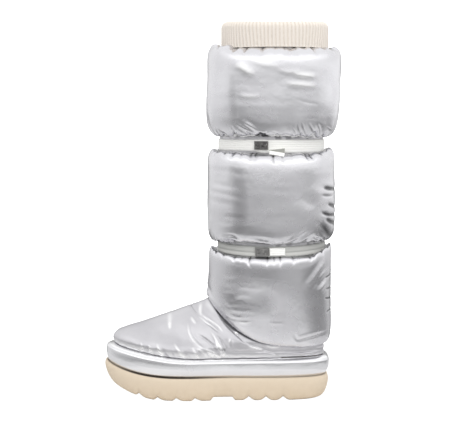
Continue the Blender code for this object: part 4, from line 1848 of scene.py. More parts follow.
@dataclass
class Cuff:
    """Rib-knit cuff, a doubled band that stands on the collar and is folded over at its top."""

    back: float = 1.7
    front: float = 130.1
    half: float = 57.0
    low_up: float = 418.3
    outer_round: float = 7.0
    inner_round: float = 1.0
    ribs: int = 84
    rib_points: int = 8
    rib_height: float = 1.0
    # Roundness of a rib, and the height over which the ribs start
    rib_round: float = 0.8
    rib_start: float = 1.5
    # Lean of the ribs in pitches, where it starts round the cuff, the height that it is reached over, and
    # the ribs' stray with its cells
    lean: float = 0.35
    lean_turn: float = 0.8
    lean_height: float = 28.0
    stray: float = 0.12
    stray_cells: Span = (8.0, 24.0)
    # How far the fold rides up all round, and further in front and behind
    all_rise: float = 1.4
    end_rise: float = 2.2
    sharp: float = 80.0
    # Points round the ellipse that is measured, and rows of the section: both rounds, up outside and down
    # inside
    fine_points: int = 4000
    round_rows: tuple[int, int] = (14, 5)
    face_rows: tuple[int, int] = (20, 14)

    def build(self, finish: RibKnit) -> None:
        """Makes the cuff: a rounded section carried round the collar, with ribs on both faces.

        Args:
            finish: Its rib knit.
        """
        columns = self.ribs * self.rib_points
        dense = even_turns(self.fine_points)
        ring = on_boot(*self.place(dense), np.array(0.0))
        run = np.concatenate([[0.0], np.cumsum(round_steps(ring[None])[0])])
        turns = np.interp(np.arange(columns) * run[-1] / columns, run, np.append(dense, 2.0 * math.pi))
        section = self.section()
        base = on_boot(*self.place(turns), np.array(0.0))
        tangent = np.roll(base, -1, axis=0) - np.roll(base, 1, axis=0)
        look = np.stack([-tangent[:, 1], tangent[:, 0], np.zeros(columns)], axis=1)
        look /= np.linalg.norm(look, axis=1, keepdims=True)
        look *= np.sign((look * (base - base.mean(axis=0))).sum(axis=1, keepdims=True))
        rise = section[:, 1:] - self.low_up
        stray = self.stray * cloth_noise((len(section), columns), self.stray_cells, Seed.CUFF_STRAY)
        lean = self.lean * np.sin(turns * 2.0 + self.lean_turn) * rise / self.lean_height + stray
        phase = np.arange(columns)[None, :] / self.rib_points + lean
        rib = np.abs(np.sin(math.pi * phase)) ** self.rib_round
        edge = np.gradient(section, axis=0)
        edge /= np.linalg.norm(edge, axis=1, keepdims=True)
        out, up = edge[:, 1:2], -edge[:, 0:1]
        raised = self.rib_height * (rib - 1.0) * smooth_step(rise / self.rib_start)
        points = base[None] + look[None] * (section[:, :1] + out * raised)[..., None]
        ride = self.all_rise + self.end_rise * np.cos(turns) ** 2
        share = np.clip(rise / (CUFF_TOP_UP - self.low_up), 0.0, 1.0)
        points[..., 2] = section[:, 1:] + up * raised + ride * share
        # The groove mark paints shade between the ribs
        patch = Patch(points, Closing.RING, {"groove": 1.0 - rib})
        piece = make_piece("cuff_rib_knit", [patch], [finish.material()], self.sharp)
        register(piece, "rib_knit", "cuff")

    def place(self, turns: Array) -> tuple[Array, Array]:
        """Outward and forward places of the cuff's outer face: an ellipse."""
        forward = self.back + (self.front - self.back) * (1.0 - np.cos(turns)) / 2.0
        return self.half * np.sin(turns), forward

    def section(self) -> Array:
        """The cuff's section, up its outer face, over the fold and down inside.

        Returns:
            Its points, as places outwards and up.
        """
        outer_turn = np.linspace(0.0, math.pi / 2, self.round_rows[0])[:, None]
        inner_turn = np.linspace(math.pi / 2, math.pi, self.round_rows[1])[:, None]
        rounds = (
            (-self.outer_round, self.outer_round, outer_turn),
            (self.inner_round - CUFF_WALL, self.inner_round, inner_turn),
        )
        turned = [np.hstack([r * np.cos(t) + c, CUFF_TOP_UP - r + r * np.sin(t)]) for c, r, t in rounds]
        rise = np.linspace(self.low_up, CUFF_TOP_UP - self.outer_round, self.face_rows[0])[:-1, None]
        fall = np.linspace(CUFF_TOP_UP - self.inner_round, self.low_up, self.face_rows[1])[1:, None]
        return np.vstack([np.hstack([0.0 * rise, rise]), *turned, np.hstack([0.0 * fall - CUFF_WALL, fall])])


@dataclass
class StrapSet:
    """A webbing strap in its channel, with its clamp buckle and the loose end beside it."""

    which: str
    level: int
    low_up: float
    high_up: float
    # How far the loose end hangs below the strap's middle, stands off it, droops, and opens at its far
    # end
    end_drop: float
    end_off: float
    end_droop: float
    end_open: float
    # The strap's section: cords, their height and roundness, rows, thickness in all and at its edges, and
    # their power
    cords: int = 5
    cord_height: float = 0.35
    cord_round: float = 0.5
    rows: int = 33
    thick: float = 2.0
    edge_thick: float = 0.2
    edge_power: int = 8
    columns: int = 240
    # Painted shade of the strap's upper part, and the shares of its width between which it starts
    upper_shade: float = 0.0
    shade_span: Span = (0.4, 0.55)
    # How far the strap sags at the boot's sides, and how much lower its lower edge runs behind the
    # buckle, from so far before the buckle's middle and over so long a way
    sag: float = 0.0
    back_drop: float = 0.0
    drop_before: float = 8.0
    drop_run: float = 10.0
    # The buckle: forward place of its middle, thickness, length and width, its border and the slope
    # inside it
    buckle_forward: float = 82.0
    buckle_size: tuple[float, float, float] = (3.0, 16.4, 9.8)
    buckle_points: tuple[int, int] = (100, 60)
    border: float = 1.1
    border_tone: float = 0.1
    border_slope: float = 0.6
    # Tone of its field, darker on the upper buckle as painted shade, how far that lies below the border
    # and how much of it the tone takes back, its two grains as tone, cells and seed, and the number, sizes
    # and brightness of the specks of painted glint in it
    buckle_tone: float = 0.2
    field_depth: float = 0.7
    tone_height: float = 0.5
    grains: tuple[tuple[float, float, Seed], ...] = (
        (0.07, 2.5, Seed.BUCKLE_GRAIN),
        (0.05, 12.0, Seed.BUCKLE_CLOUD),
    )
    specks: int = 9
    speck_mm: Span = (0.25, 0.45)
    speck_glint: Span = (0.2, 0.5)
    # The loose end: thickness, length and width, its cords and their height, how far it leans out where
    # it opens, its width above the fold at the buckle, and the share of its width over which the painted
    # shade of the flap above the fold starts
    end_size: tuple[float, float, float] = (1.6, 18.6, 9.0)
    end_points: tuple[int, int] = (60, 41)
    end_cords: int = 4
    end_cord_height: float = 0.25
    end_lean: float = 0.45
    end_start: float = 0.4
    end_fold: Span = (0.5, 0.54)
    # Power by which a plate's border rolls over, and the angles above which edges stay sharp
    roll_power: int = 14
    band_sharp: float = 70.0
    buckle_sharp: float = 50.0

    def band(self, finish: Webbing) -> None:
        """Makes the strap: a flat corded section carried round the shaft.

        Args:
            finish: Its webbing.
        """
        turns = even_turns(self.columns)
        rise = np.linspace(0.0, 1.0, self.rows)
        cord = np.abs(np.sin(math.pi * self.cords * rise)) ** self.cord_round
        edge = np.sqrt(np.clip(1.0 - np.abs(2.0 * rise - 1.0) ** self.edge_power, 0.0, 1.0))
        core = self.thick - self.cord_height - self.edge_thick
        out = FIT_GAP + self.edge_thick + core * edge + self.cord_height * cord * edge
        up = self.low_up + (self.high_up - self.low_up) * rise
        below, above = (LAST.rings[self.level + step].back_up for step in (0, 1))
        wall = LAST.surface(self.level + (up - below) / (above - below), turns)
        look = surface_normals(wall)
        behind = smooth_step((self.buckle_forward + self.drop_before - forward_of(wall)) / self.drop_run)
        wall[..., 2] -= self.sag * np.sin(turns) ** 2 + self.back_drop * (1.0 - rise)[:, None] * behind
        outer = wall + look * out[:, None, None]
        inner = (wall + look * FIT_GAP)[::-1][1:-1]
        # Painted shade between the cords and on the strap's upper part
        shade = np.clip(1.0 - cord + self.upper_shade * ramp(rise, self.shade_span), 0.0, 1.0)
        cord_and_upper_shade = np.concatenate([np.repeat(shade[:, None], self.columns, axis=1), np.zeros(inner.shape[:2])])
        patch = Patch(np.concatenate([outer, inner]), Closing.RING, {"groove": cord_and_upper_shade})
        piece = make_piece("webbing_" + self.which, [patch], [finish.material()], self.band_sharp)
        register(piece, "webbing", "strap_" + self.which)

    def seat(self, forward: float) -> tuple[Array, Array]:
        """A place on the strap's outer face, on the boot's outer side: that of an ellipse round the shaft.

        Args:
            forward: Its forward place.

        Returns:
            The point, and the way that the face looks there.
        """
        ring = LAST.rings[self.level]
        long_half = (ring.front - ring.back) / 2.0 + FIT_GAP + self.thick
        side_half = ring.heel_half + FIT_GAP + self.thick
        offset = forward - (ring.front + ring.back) / 2.0
        outward = side_half * math.sqrt(1.0 - (offset / long_half) ** 2)
        look = np.array([outward / side_half**2, -offset / long_half**2, 0.0])
        sag = self.sag * (outward / side_half) ** 2
        point = np.array([outward, ORIGIN_FORWARD - forward, (self.low_up + self.high_up) / 2.0 - sag])
        return point, look / np.linalg.norm(look)

    def plate(self, thick: float, face: Array, point: Array, axes: Array) -> list[Patch]:
        """A small closed plate from its face, a grid of (out, along, up) places in its own axes.

        Towards its border the face rolls over a quarter circle down to the back, a thickness behind it.

        Args:
            thick: Thickness of the plate.
            face: The face's places, rows by columns by three.
            point: Middle of the plate.
            axes: Its out, along and up directions, a row each.

        Returns:
            The face and the back, which meet along the border.
        """
        rows, columns = face.shape[:2]
        across = np.linspace(-1.0, 1.0, columns)[None, :]
        along = np.linspace(-1.0, 1.0, rows)[:, None]
        close = np.maximum(np.abs(across) ** self.roll_power, np.abs(along) ** self.roll_power)
        roll = 1.0 - (1.0 - close) ** 0.5
        front, back = face.copy(), face.copy()
        front[..., 0] += thick / 2.0 - thick * roll
        back[..., 0] -= thick / 2.0
        return [Patch(point + side @ axes, Closing.OPEN) for side in (front, back[:, ::-1])]

    def buckle(self, finish: Pewter) -> None:
        """Makes the clamp buckle: a cast plate, a low border round a pitted field, and painted glints in
        specks.

        Args:
            finish: Its pewter.
        """
        thick, length, width = self.buckle_size
        point, look = self.seat(self.buckle_forward)
        axes = np.array([look, np.cross([0.0, 0.0, 1.0], look), [0.0, 0.0, 1.0]])
        spans = (np.linspace(-w / 2.0, w / 2.0, n) for w, n in zip((length, width), self.buckle_points))
        across, along = np.meshgrid(*spans)
        inside = np.minimum(length / 2.0 - np.abs(across), width / 2.0 - np.abs(along)) - self.border
        sunk = smooth_step(inside / self.border_slope)
        rng = np.random.default_rng(Seed.BUCKLE_SPECKS + self.level)
        room = np.array([length, width]) - 3.0 * self.border
        at = rng.uniform(-0.5, 0.5, (self.specks, 2)) * room
        size, bright = (rng.uniform(*span, self.specks) for span in (self.speck_mm, self.speck_glint))
        away = np.hypot(across[..., None] - at[:, 0], along[..., None] - at[:, 1]) / size
        pits = sum(
            tone * cloth_noise(across.shape, (cells, cells), seed + self.level)
            for tone, cells, seed in self.grains
        )
        # Painted glints in small specks
        specks = (bright * np.exp(-(away**2))).sum(axis=-1)
        pattern = np.clip(self.buckle_tone + pits + specks, 0.0, 1.0)
        low = (self.tone_height * pattern - self.field_depth) * sunk
        face = np.stack([low, across, along], axis=-1)
        patches = self.plate(thick, face, point + look * (FIT_GAP + thick / 2.0), axes)
        rim = self.border_tone + self.buckle_tone
        patches[0].marks["worn"] = rim * (1.0 - sunk) + pattern * sunk
        piece = make_piece("buckle_cast_" + self.which, patches, [finish.material()], self.buckle_sharp)
        register(piece, "pewter", "buckle_" + self.which)

    def end(self, finish: Webbing) -> None:
        """Makes the strap's loose end: a corded tab beside the buckle, which may be folded along its length.

        Below the fold the tab leans out towards its lower edge, so it looks up. Above it the tab opens from
        a little at the buckle to its full width at its far end and leans out towards its upper edge, so it
        looks down.

        Args:
            finish: Its webbing.
        """
        thick, length, width = self.end_size
        beside = (self.buckle_size[1] + length) / 2.0 + FIT_GAP
        point, look = self.seat(self.buckle_forward - beside)
        droop, upright = math.radians(self.end_droop), np.array([0.0, 0.0, 1.0])
        level = np.cross(upright, look)
        axes = np.array([look, math.cos(droop) * level - math.sin(droop) * upright, upright])
        share, rise = np.meshgrid(*(np.linspace(0.0, 1.0, count) for count in self.end_points))
        cord = np.abs(np.sin(math.pi * self.end_cords * rise)) ** self.cord_round
        lean, start = (self.end_lean, self.end_start) if self.end_open else (0.0, width / 2.0)
        wide = np.where(rise < 0.5, width / 2.0, self.end_open * share + start)
        over = (2.0 * rise - 1.0) * wide
        out = lean * np.abs(over) + self.end_cord_height * (cord - 1.0)
        face = np.stack([out, (share - 0.5) * length, over], axis=-1)
        middle = point + look * (self.end_off + thick / 2.0) - self.end_drop * upright
        patches = self.plate(thick, face, middle, axes)
        # Painted shade between the cords, and on the flap above the fold, which looks down
        patches[0].marks["groove"] = 0.5 * (1.0 - cord)
        patches[0].marks["fold"] = ramp(rise, self.end_fold) if self.end_open else np.zeros(rise.shape)
        piece = make_piece("webbing_end_" + self.which, patches, [finish.material()])
        register(piece, "webbing", "strap_end_" + self.which)


def put(name: str, data: bpy.types.ID, at: Vector, way: Vector) -> bpy.types.Object:
    """Puts a camera or a lamp into the scene.

    Args:
        name: Its name.
        data: The camera or light.
        at: Where it stands, in metres.
        way: The way that it looks.

    Returns:
        The new object.
    """
    made = bpy.data.objects.new(name, data)
    made.location = at
    made.rotation_mode = "QUATERNION"
    made.rotation_quaternion = way.to_track_quat("-Z", "Y")
    bpy.context.scene.collection.objects.link(made)
    return made


@dataclass
class Studio:
    """White floor and surround, soft light, and the camera, level with the calf and looking a little down.

    Its sizes are in metres.
    """

    camera_at: tuple[float, float, float] = (1.5, 0.0059, 0.345)
    pitch_deg: float = 5.05
    lens_mm: float = 98.86
    sensor_mm: float = 36.0
    # Radii of the papers on the floor, and how far they and the surround lie below the boot
    floor_radius: float = 0.62
    bounce_radius: float = 0.32
    near_radius: float = 0.17
    floor_drop: float = 0.0005
    bounce_drop: float = 0.0002
    surround_drop: float = 0.001
    surround_radius: float = 6.0
    surround_round: float = 1.5
    surround_top: float = 5.0
    round_points: int = 96
    bend_points: int = 20
    sky: float = 1.1
    # A square soft lamp in front: where it stands, where it looks, its side and its power
    fill_at: tuple[float, float, float] = (1.6, 0.2, 1.1)
    fill_towards: tuple[float, float, float] = (0.0, 0.0, 0.2)
    fill_size: float = 1.2
    fill_watts: float = 7.0
    # A low wall that only reflections see, the heights between which its tone turns into the room's, and
    # those between which a paler foot turns into it
    wall_radius: float = 1.3
    wall_turn: Span = (0.2, 0.4)
    wall_foot: Span = (0.08, 0.18)
    wall_foot_tone: float = 0.7
    # Brightness of the soft panel above the camera, and the sines of the heights where it starts and ends
    panel: float = 1.7
    panel_low: Span = (0.3, 0.5)
    panel_high: Span = (0.58, 0.76)
    panel_ring: Pairs = ((0.2, 0.0), (0.4, 1.0), (0.6, 1.0), (0.8, 0.0))
    # Sines of the heights between which the rings give way to the sky
    high_band: Span = (0.3, 0.8)
    # Brightness round the horizon, from behind the boot over its toe, the camera and its heel back to
    # behind it, where dark cloth draws the boot's edges: of the floor below, the far floor, the low wall,
    # the room and its upper part
    under_ring: Pairs = (
        *((0.0, 0.3), (0.08, 0.95), (0.29, 0.75), (0.36, 0.36)),
        *((0.47, 0.4), (0.54, 0.66), (0.92, 0.9), (1.0, 0.3)),
    )
    floor_ring: Pairs = (
        *((0.0, 0.15), (0.06, 0.2), (0.12, 0.8), (0.22, 0.7), (0.29, 0.5), (0.36, 0.3), (0.46, 0.31)),
        *((0.5, 0.35), (0.53, 0.46), (0.61, 0.52), (0.645, 0.38), (0.7, 0.28), (0.8, 0.3), (0.88, 0.7)),
        *((0.94, 0.15), (1.0, 0.12)),
    )
    wall_ring: Pairs = (
        *((0.0, 0.2), (0.05, 0.25), (0.1, 0.92), (0.22, 0.84), (0.315, 0.78), (0.372, 0.28), (0.42, 0.29)),
        *((0.46, 0.43), (0.5, 0.5), (0.6, 0.51), (0.655, 0.42), (0.7, 0.6), (0.75, 0.84), (0.89, 0.9)),
        *((0.94, 0.2), (1.0, 0.15)),
    )
    room_ring: Pairs = (
        *((0.0, 0.4), (0.04, 0.5), (0.08, 1.0), (0.3, 0.96), (0.345, 0.72), (0.385, 0.74), (0.44, 0.88)),
        *((0.55, 0.92), (0.64, 1.04), (0.7, 1.18), (0.9, 1.18), (0.95, 0.3), (1.0, 0.25)),
    )
    upper_ring: Pairs = (
        *((0.0, 0.5), (0.06, 0.8), (0.1, 1.0), (0.3, 1.0), (0.36, 0.95)),
        *((0.44, 1.1), (0.62, 1.1), (0.75, 1.05), (0.92, 1.0), (1.0, 0.5)),
    )
    # Sines of the heights of the rings: the floor below, both edges of the far floor, the room and its
    # upper part
    ring_heights: tuple[float, ...] = (-0.62, -0.4, -0.03, 0.02, 0.17)

    def build(self) -> None:
        """Sets up the floor, the light and the camera."""
        self.floor()
        self.light()
        view = bpy.data.cameras.new("camera")
        view.sensor_width = self.sensor_mm
        view.lens = self.lens_mm
        pitch = math.radians(self.pitch_deg)
        way = Vector((-math.cos(pitch), 0.0, -math.sin(pitch)))
        bpy.context.scene.camera = put("camera", view, Vector(self.camera_at), way)
        bpy.context.scene.view_settings.view_transform = "Standard"

    def floor(self) -> None:
        """Makes the floor and a white surround for the camera, and greyer ones for the reflections.

        All are profiles turned about the upright axis: flat discs, a wider one that curves up into a wall,
        and an upright band.
        """
        turns = even_turns(self.round_points)
        bend = np.linspace(0.0, math.pi / 2, self.bend_points)
        reach, rise = self.surround_radius - self.surround_round, self.surround_round
        floor, bounce, near = (
            np.array([[radius, -drop], [0.0, -drop]])
            for radius, drop in (
                (self.floor_radius, self.floor_drop),
                (self.bounce_radius, self.bounce_drop),
                (self.near_radius, 0.0),
            )
        )
        curve = np.stack([reach + rise * np.sin(bend), rise * (1.0 - np.cos(bend))], axis=1)[::-1]
        bowl = np.vstack([[self.surround_radius, self.surround_top], curve, [0.0, 0.0]])
        bowl[:, 1] -= self.surround_drop
        wall = np.array([[self.wall_radius, self.wall_turn[1]], [self.wall_radius, 0.0]])
        wall_tones = (self.wall_ring, self.room_ring, self.wall_turn, self.wall_foot, self.wall_foot_tone)
        for name, profile, paper in (
            ("studio_floor", floor, StudioPaper("white floor paper", glow=0.7)),
            ("studio_bounce", bounce, StudioPaper("grey floor paper", "#B4B4B4", glow=0.0)),
            ("studio_near", near, StudioPaper("bright floor paper", "#E6E6E6", glow=0.0)),
            ("studio_wall", wall, WallPaper("grey wall paper", *wall_tones)),
            ("studio_surround", bowl, StudioPaper("white surround paper", glow=1.0)),
        ):
            out, up = profile[::-1, :1], np.repeat(profile[::-1, 1:], len(turns), axis=1)
            points = np.stack([out * np.cos(-turns), out * np.sin(-turns), up], axis=-1) / MM
            make_piece(name, [Patch(points, Closing.TUBE)], [paper.material()])
        for name in ("studio_floor", "studio_surround"):
            seen = bpy.data.objects[name]
            seen.visible_diffuse = seen.visible_glossy = seen.visible_transmission = False
        bpy.data.objects["studio_surround"].visible_shadow = False
        for name in ("studio_bounce", "studio_near", "studio_wall"):
            felt = bpy.data.objects[name]
            felt.visible_camera = felt.visible_shadow = False
        bpy.data.objects["studio_wall"].visible_diffuse = False

    def light(self) -> None:
        """Sets the studio's surroundings and its lamp.

        The surroundings are a white room with a darker floor in front of the boot, away from its paper:
        ramps of brightness round the horizon at a few heights, mixed by height and into the pale sky
        overhead, with a soft panel above the camera.
        """
        world = bpy.data.worlds.new("studio")
        bpy.context.scene.world = world
        world.use_nodes = True
        shade = Shading(world.node_tree)
        direction = shade.add("TexCoord").outputs["Generated"]
        height = shade.height(direction)
        tables = (self.under_ring, self.floor_ring, self.floor_ring, self.room_ring, self.upper_ring)
        sky, *rings = (shade.ring(direction, table) for table in tables)
        spans = (*zip(self.ring_heights, self.ring_heights[1:]), self.high_band)
        for span, above in zip(spans, (*rings, grey(self.sky))):
            sky = shade.blend(shade.carry(height, span), sky, above)
        starts, ends = shade.carry(height, self.panel_low), shade.carry(height, self.panel_high, (1.0, 0.0))
        share = shade.times(shade.times(starts, ends), shade.ring(direction, self.panel_ring))
        shade.feed(shade.tree.nodes["Background"], {"Color": shade.blend(share, sky, grey(self.panel))})
        lamp = bpy.data.lights.new("front fill", "AREA")
        lamp.size = self.fill_size
        lamp.energy = self.fill_watts
        at = Vector(self.fill_at)
        put("front fill", lamp, at, Vector(self.fill_towards) - at).visible_glossy = False


# In these tables a crease's last number is painted shade, and below 0 a painted highlight
ANKLE_CREASES = (
    # Wrinkles low in front
    Crease(((121.0, 112.5), (108.0, 109.0), (90.0, 108.6)), 0.2, 2.4, 0.3, -0.3),
    Crease(((122.0, 105.0), (110.0, 101.8), (96.0, 102.4)), 0.24, 2.0, 0.3, -0.4),
    Crease(((112.0, 96.5), (104.0, 95.2), (93.0, 97.0)), 0.25, 1.5, 0.3, -0.9),
    Crease(((127.0, 101.6), (117.0, 98.2), (107.0, 97.8)), -0.25, 1.5, 0.3, 0.3),
    Crease(((130.0, 116.0), (121.0, 113.0), (109.0, 112.6)), -0.2, 2.2, 0.3),
    Crease(((112.0, 136.6), (100.0, 137.2), (84.0, 136.4)), 0.12, 2.2, 0.2, -0.25),
    Crease(((116.0, 126.0), (104.0, 127.5), (94.0, 126.0)), 0.12, 2.6, 0.2, -0.25),
    Crease(((136.0, 150.0), (126.0, 147.0), (112.0, 148.0)), -0.2, 2.6, 0.2),
    Crease(((134.0, 131.0), (124.0, 128.6), (114.0, 129.6)), -0.2, 2.6, 0.2),
    Crease(((73.0, 95.5), (64.0, 95.0), (56.0, 95.5)), 0.3, 1.5, 0.3, -0.35),
    # Soft shade of the front half, and the flatter cloth over the instep
    Crease(((120.0, 152.0), (114.0, 136.0), (106.0, 116.0), (90.0, 100.0)), 0.0, 24.0, 0.0, 0.5),
    Crease(((84.0, 136.0), (78.0, 120.0), (74.0, 104.0)), 0.0, 18.0, 0.0, 0.4),
    Crease(((154.0, 138.0), (142.0, 125.0), (130.0, 114.0)), -2.0, 6.0, 0.0),
    # Drapes from the upper corner behind
    Crease(((6.8, 167.8), (17.9, 152.8), (29.0, 139.6)), 1.1, 3.2),
    Crease(((5.8, 156.5), (16.0, 145.2)), 0.9, 2.4),
    Crease(((4.7, 143.3), (14.0, 132.0)), 0.9, 2.4),
    # Short deep creases at the back, with painted shade
    Crease(((6.5, 147.0), (1.0, 149.0), (-9.0, 152.5)), -0.4, 1.2, 0.1, 1.2),
    Crease(((5.4, 133.4), (0.8, 133.5), (-9.0, 132.4)), -0.4, 1.1, 0.1, 1.2),
    Crease(((7.0, 123.0), (2.0, 121.6), (-9.0, 119.0)), -0.4, 1.3, 0.1, 1.2),
    Crease(((4.6, 105.4), (0.6, 106.5), (-9.0, 108.4)), -0.4, 1.1, 0.1, 1.1),
    # Fold over the heel
    Crease(((43.7, 82.8), (39.0, 75.0), (25.0, 78.0), (4.2, 81.8)), -1.3, 1.7),
)
CALF_CREASES = (
    # Streaks round the front corner
    Crease(((146.0, 274.0), (134.0, 276.0), (120.0, 275.0), (104.0, 271.0)), -0.17, 3.0),
    Crease(((146.0, 261.6), (134.0, 259.0), (122.0, 257.7), (104.0, 256.0)), -0.17, 3.0),
    Crease(((146.0, 251.0), (133.0, 249.0), (118.0, 246.5), (104.0, 243.5)), -0.17, 2.6),
    Crease(((146.0, 240.0), (134.0, 238.0), (122.0, 236.8), (106.0, 233.0)), -0.17, 3.0),
    Crease(((128.0, 222.0), (116.0, 221.0), (102.0, 219.5)), -0.2, 2.4),
    Crease(((36.0, 248.0), (28.0, 240.0), (20.0, 233.0)), -0.8, 7.0),
    # Soft upright shade behind the front corner
    Crease(((110.0, 290.0), (108.0, 250.0), (107.0, 220.0), (108.0, 192.0)), 0.0, 12.0, 0.0, 0.45),
    # Folds above the lower seam
    Crease(((129.0, 196.7), (118.0, 197.0), (106.0, 190.9)), 1.2, 1.8),
    Crease(((93.6, 194.3), (78.0, 192.0), (60.0, 187.4)), 1.2, 2.0),
    Crease(((53.3, 187.4), (40.0, 192.0), (22.4, 203.6)), 1.3, 1.7),
    Crease(((60.0, 189.0), (46.0, 196.0), (30.0, 207.0)), 1.0, 1.6),
    Crease(((44.0, 184.0), (30.0, 190.0), (17.0, 199.0)), 1.1, 1.5),
    Crease(((21.2, 197.8), (12.0, 193.2)), -1.4, 1.4),
    # Short deep creases at the back, with painted shade
    Crease(((10.2, 255.4), (1.0, 253.4), (-13.0, 250.6)), -0.9, 2.3, 0.1, 1.5),
    Crease(((12.7, 246.4), (5.0, 245.4), (-3.0, 245.0)), -0.5, 1.4, 0.1, 0.7),
    Crease(((4.6, 236.2), (-3.0, 232.5), (-14.0, 227.0)), -0.9, 2.2, 0.1, 1.5),
    Crease(((12.4, 226.0), (2.0, 222.6), (-13.0, 220.4)), -0.9, 2.0, 0.1, 1.4),
    Crease(((6.6, 218.7), (0.0, 214.0), (-12.0, 207.0)), -0.9, 2.4, 0.1, 1.5),
    Crease(((14.8, 213.8), (5.0, 203.0), (-8.0, 186.0)), -0.9, 4.8, 0.1, 1.0),
    Crease(((17.0, 206.0), (9.0, 196.0), (0.0, 188.0)), -0.6, 2.0, 0.3, 0.6),
)
TOP_CREASES = (
    # Folds under the collar, with painted highlights
    Crease(((114.0, 398.6), (103.0, 392.4), (91.0, 385.6)), 0.6, 4.6, 0.1, -0.8),
    Crease(((48.0, 386.2), (35.0, 385.2), (21.0, 384.6)), 0.5, 3.8, 0.1, -0.8),
    Crease(((57.0, 376.0), (39.0, 374.6), (19.0, 373.4)), 0.45, 3.6, 0.1, -0.7),
    Crease(((111.0, 362.0), (98.0, 360.8), (84.0, 361.2)), 0.3, 3.4, 0.1, -0.5),
    Crease(((98.0, 404.0), (80.0, 398.0), (62.0, 396.0)), 0.35, 3.4, 0.1, -0.4),
    Crease(((66.0, 392.0), (52.0, 389.0), (38.0, 391.0)), 0.3, 3.0, 0.1, -0.3),
    Crease(((42.0, 357.5), (30.0, 354.0), (17.0, 352.0)), -0.15, 1.6, 0.2, 0.25),
    Crease(((37.0, 336.5), (27.0, 336.0), (17.0, 336.0)), -0.15, 1.6, 0.2, 0.25),
    # Soft upright shade behind the front corner
    Crease(((117.0, 400.0), (117.0, 370.0), (116.0, 344.0), (114.0, 322.0)), 0.0, 8.0, 0.0, 0.34),
    # Folds drawn together at the lower seam
    Crease(((104.0, 332.0), (94.0, 326.0), (82.5, 317.5)), 0.9, 1.8),
    Crease(((112.0, 330.0), (98.0, 322.0), (86.0, 316.0)), 0.8, 1.6),
    Crease(((43.0, 331.0), (40.2, 323.2), (37.5, 315.5)), -0.8, 1.1, 0.2, 0.6),
    Crease(((50.0, 328.0), (46.0, 323.0), (42.0, 316.0)), -0.7, 1.0, 0.2, 0.4),
    Crease(((37.5, 332.0), (34.7, 324.3), (32.0, 316.0)), -0.8, 1.0, 0.2, 0.6),
    Crease(((28.7, 331.0), (24.2, 323.2), (21.0, 317.0)), -0.8, 1.0, 0.2, 0.6),
    Crease(((17.7, 330.0), (15.4, 322.1), (14.6, 316.0)), -0.8, 1.0, 0.2, 0.6),
    Crease(((7.7, 326.0), (3.0, 323.4), (-2.0, 321.0)), -0.6, 1.0, 0.2, 0.7),
    Crease(((109.2, 325.0), (102.6, 318.8), (98.0, 314.5)), -0.8, 1.0, 0.2, 0.6),
    Crease(((133.4, 325.0), (129.0, 320.4), (122.4, 317.6)), -0.8, 1.0, 0.2, 0.7),
    Crease(((117.4, 327.0), (114.7, 319.9), (113.0, 314.5)), -0.8, 1.0, 0.2, 0.5),
    # Tuft above the buckle, with painted shade
    Crease(((90.3, 316.6), (82.7, 318.6), (78.3, 316.4), (70.7, 314.9)), -0.8, 1.4, 0.3, 1.1),
    Crease(((86.8, 321.0), (83.4, 318.0), (81.0, 313.4)), -0.8, 1.0, 0.3, 1.0),
    Crease(((78.0, 320.6), (79.6, 317.4), (80.6, 313.4)), -0.7, 0.9, 0.3, 0.9),
)
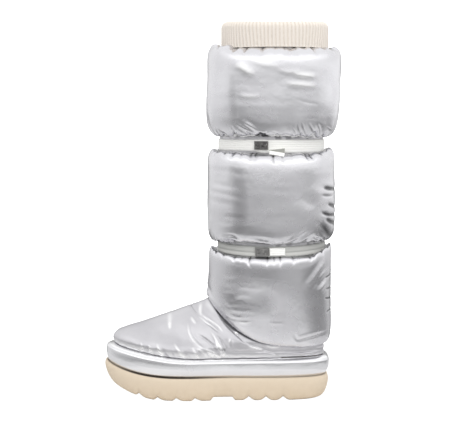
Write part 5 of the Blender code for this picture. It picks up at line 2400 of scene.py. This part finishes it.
PUFFS = (
    StuffedRing(
        node="puff_ankle",
        seed=Seed.ANKLE_PUFF,
        creases=ANKLE_CREASES,
        low_level=7.0,
        top_level=11.0,
        front_thick=13.0,
        back_thick=10.4,
        side_thick=12.0,
        corner_thick=3.0,
        low_hem=2.2,
        top_hem=3.0,
        low_square=2.4,
        side_dip=3.0,
        low_lips=(0.0, 0.0),
        top_lips=(8.0, 15.5),
        gather_reaches=(3.5, 6.0),
        gather_depths=(0.35, 1.0),
        curl_mm=0.0,
        ease_up=-0.01,
        uneven=0.015,
        hold=4.0,
    ),
    StuffedRing(
        node="puff_calf",
        seed=Seed.CALF_PUFF,
        creases=CALF_CREASES,
        low_level=12.0,
        top_level=13.0,
        front_thick=14.7,
        back_thick=14.4,
        side_thick=13.0,
        corner_thick=5.0,
        low_hem=3.0,
        top_hem=3.0,
        low_square=3.2,
        side_dip=7.0,
        low_lips=(3.0, 0.0),
        top_lips=(6.0, 6.0),
    ),
    StuffedRing(
        node="puff_top",
        seed=Seed.TOP_PUFF,
        creases=TOP_CREASES,
        low_level=14.0,
        top_level=15.0,
        front_thick=18.6,
        back_thick=19.0,
        side_thick=16.5,
        corner_thick=6.0,
        low_hem=3.0,
        top_hem=4.0,
        low_square=2.7,
        side_dip=7.0,
        low_lips=(-4.5, 0.0),
        top_lips=(7.0, 4.0),
        scallop_pitch=15.0,
        scallop_mm=4.6,
    ),
)
STRAPS = (
    StrapSet(
        which="lower",
        level=11,
        low_up=175.8,
        high_up=189.2,
        end_drop=0.0,
        end_off=0.3,
        end_droop=0.0,
        end_open=0.0,
        cords=2,
        upper_shade=0.5,
        sag=2.0,
        # A lighter field than the upper buckle's, whose darker tone is painted shade
        buckle_tone=0.42,
    ),
    StrapSet(
        which="upper",
        level=13,
        low_up=297.2,
        high_up=312.4,
        end_drop=7.4,
        end_off=1.6,
        end_droop=10.0,
        end_open=5.6,
        back_drop=2.0,
        buckle_forward=83.2,
    ),
)


def main() -> None:
    """Builds the boot's pieces in order, then the studio."""
    logging.basicConfig(level=logging.INFO, format="%(message)s")
    for old in list(bpy.data.objects):
        if old.name in ("Cube", "Light", "Camera"):
            bpy.data.objects.remove(old)
    Outsole().build(FoamRubber())
    wrap = FoilCloth(
        "foil cloth on the platform", "#F0F0F2", "#E4E4E7", roughness=(0.18, 0.28), crinkle_height_mm=0.08
    )
    Midsole().build(wrap)
    insole = frame["nodes"]["insole"]
    insole.data.materials.clear()
    insole.data.materials.append(Fleece("fleece insole cover").material())
    foot = FoilCloth("foil cloth on the foot", "#D4D3D6", "#C6C5C9", roughness=(0.38, 0.48))
    Upper().build(foot, Fleece("fleece lining"))
    foil = FoilCloth("stuffed foil cloth")
    for puff in PUFFS:
        puff.build(foil)
    # The lower strap's webbing is a darker copy of the same webbing, as painted shade
    pewter, webbing, shaded_webbing = Pewter(), Webbing(), Webbing("polyester webbing with painted shade", "#D6D6D2", "#B0B1AE")
    for strap, finish in zip(STRAPS, (shaded_webbing, webbing)):
        strap.band(finish)
        strap.buckle(pewter)
        strap.end(webbing)
    Cuff().build(RibKnit())
    Studio().build()


if __name__ == "__main__":
    main()
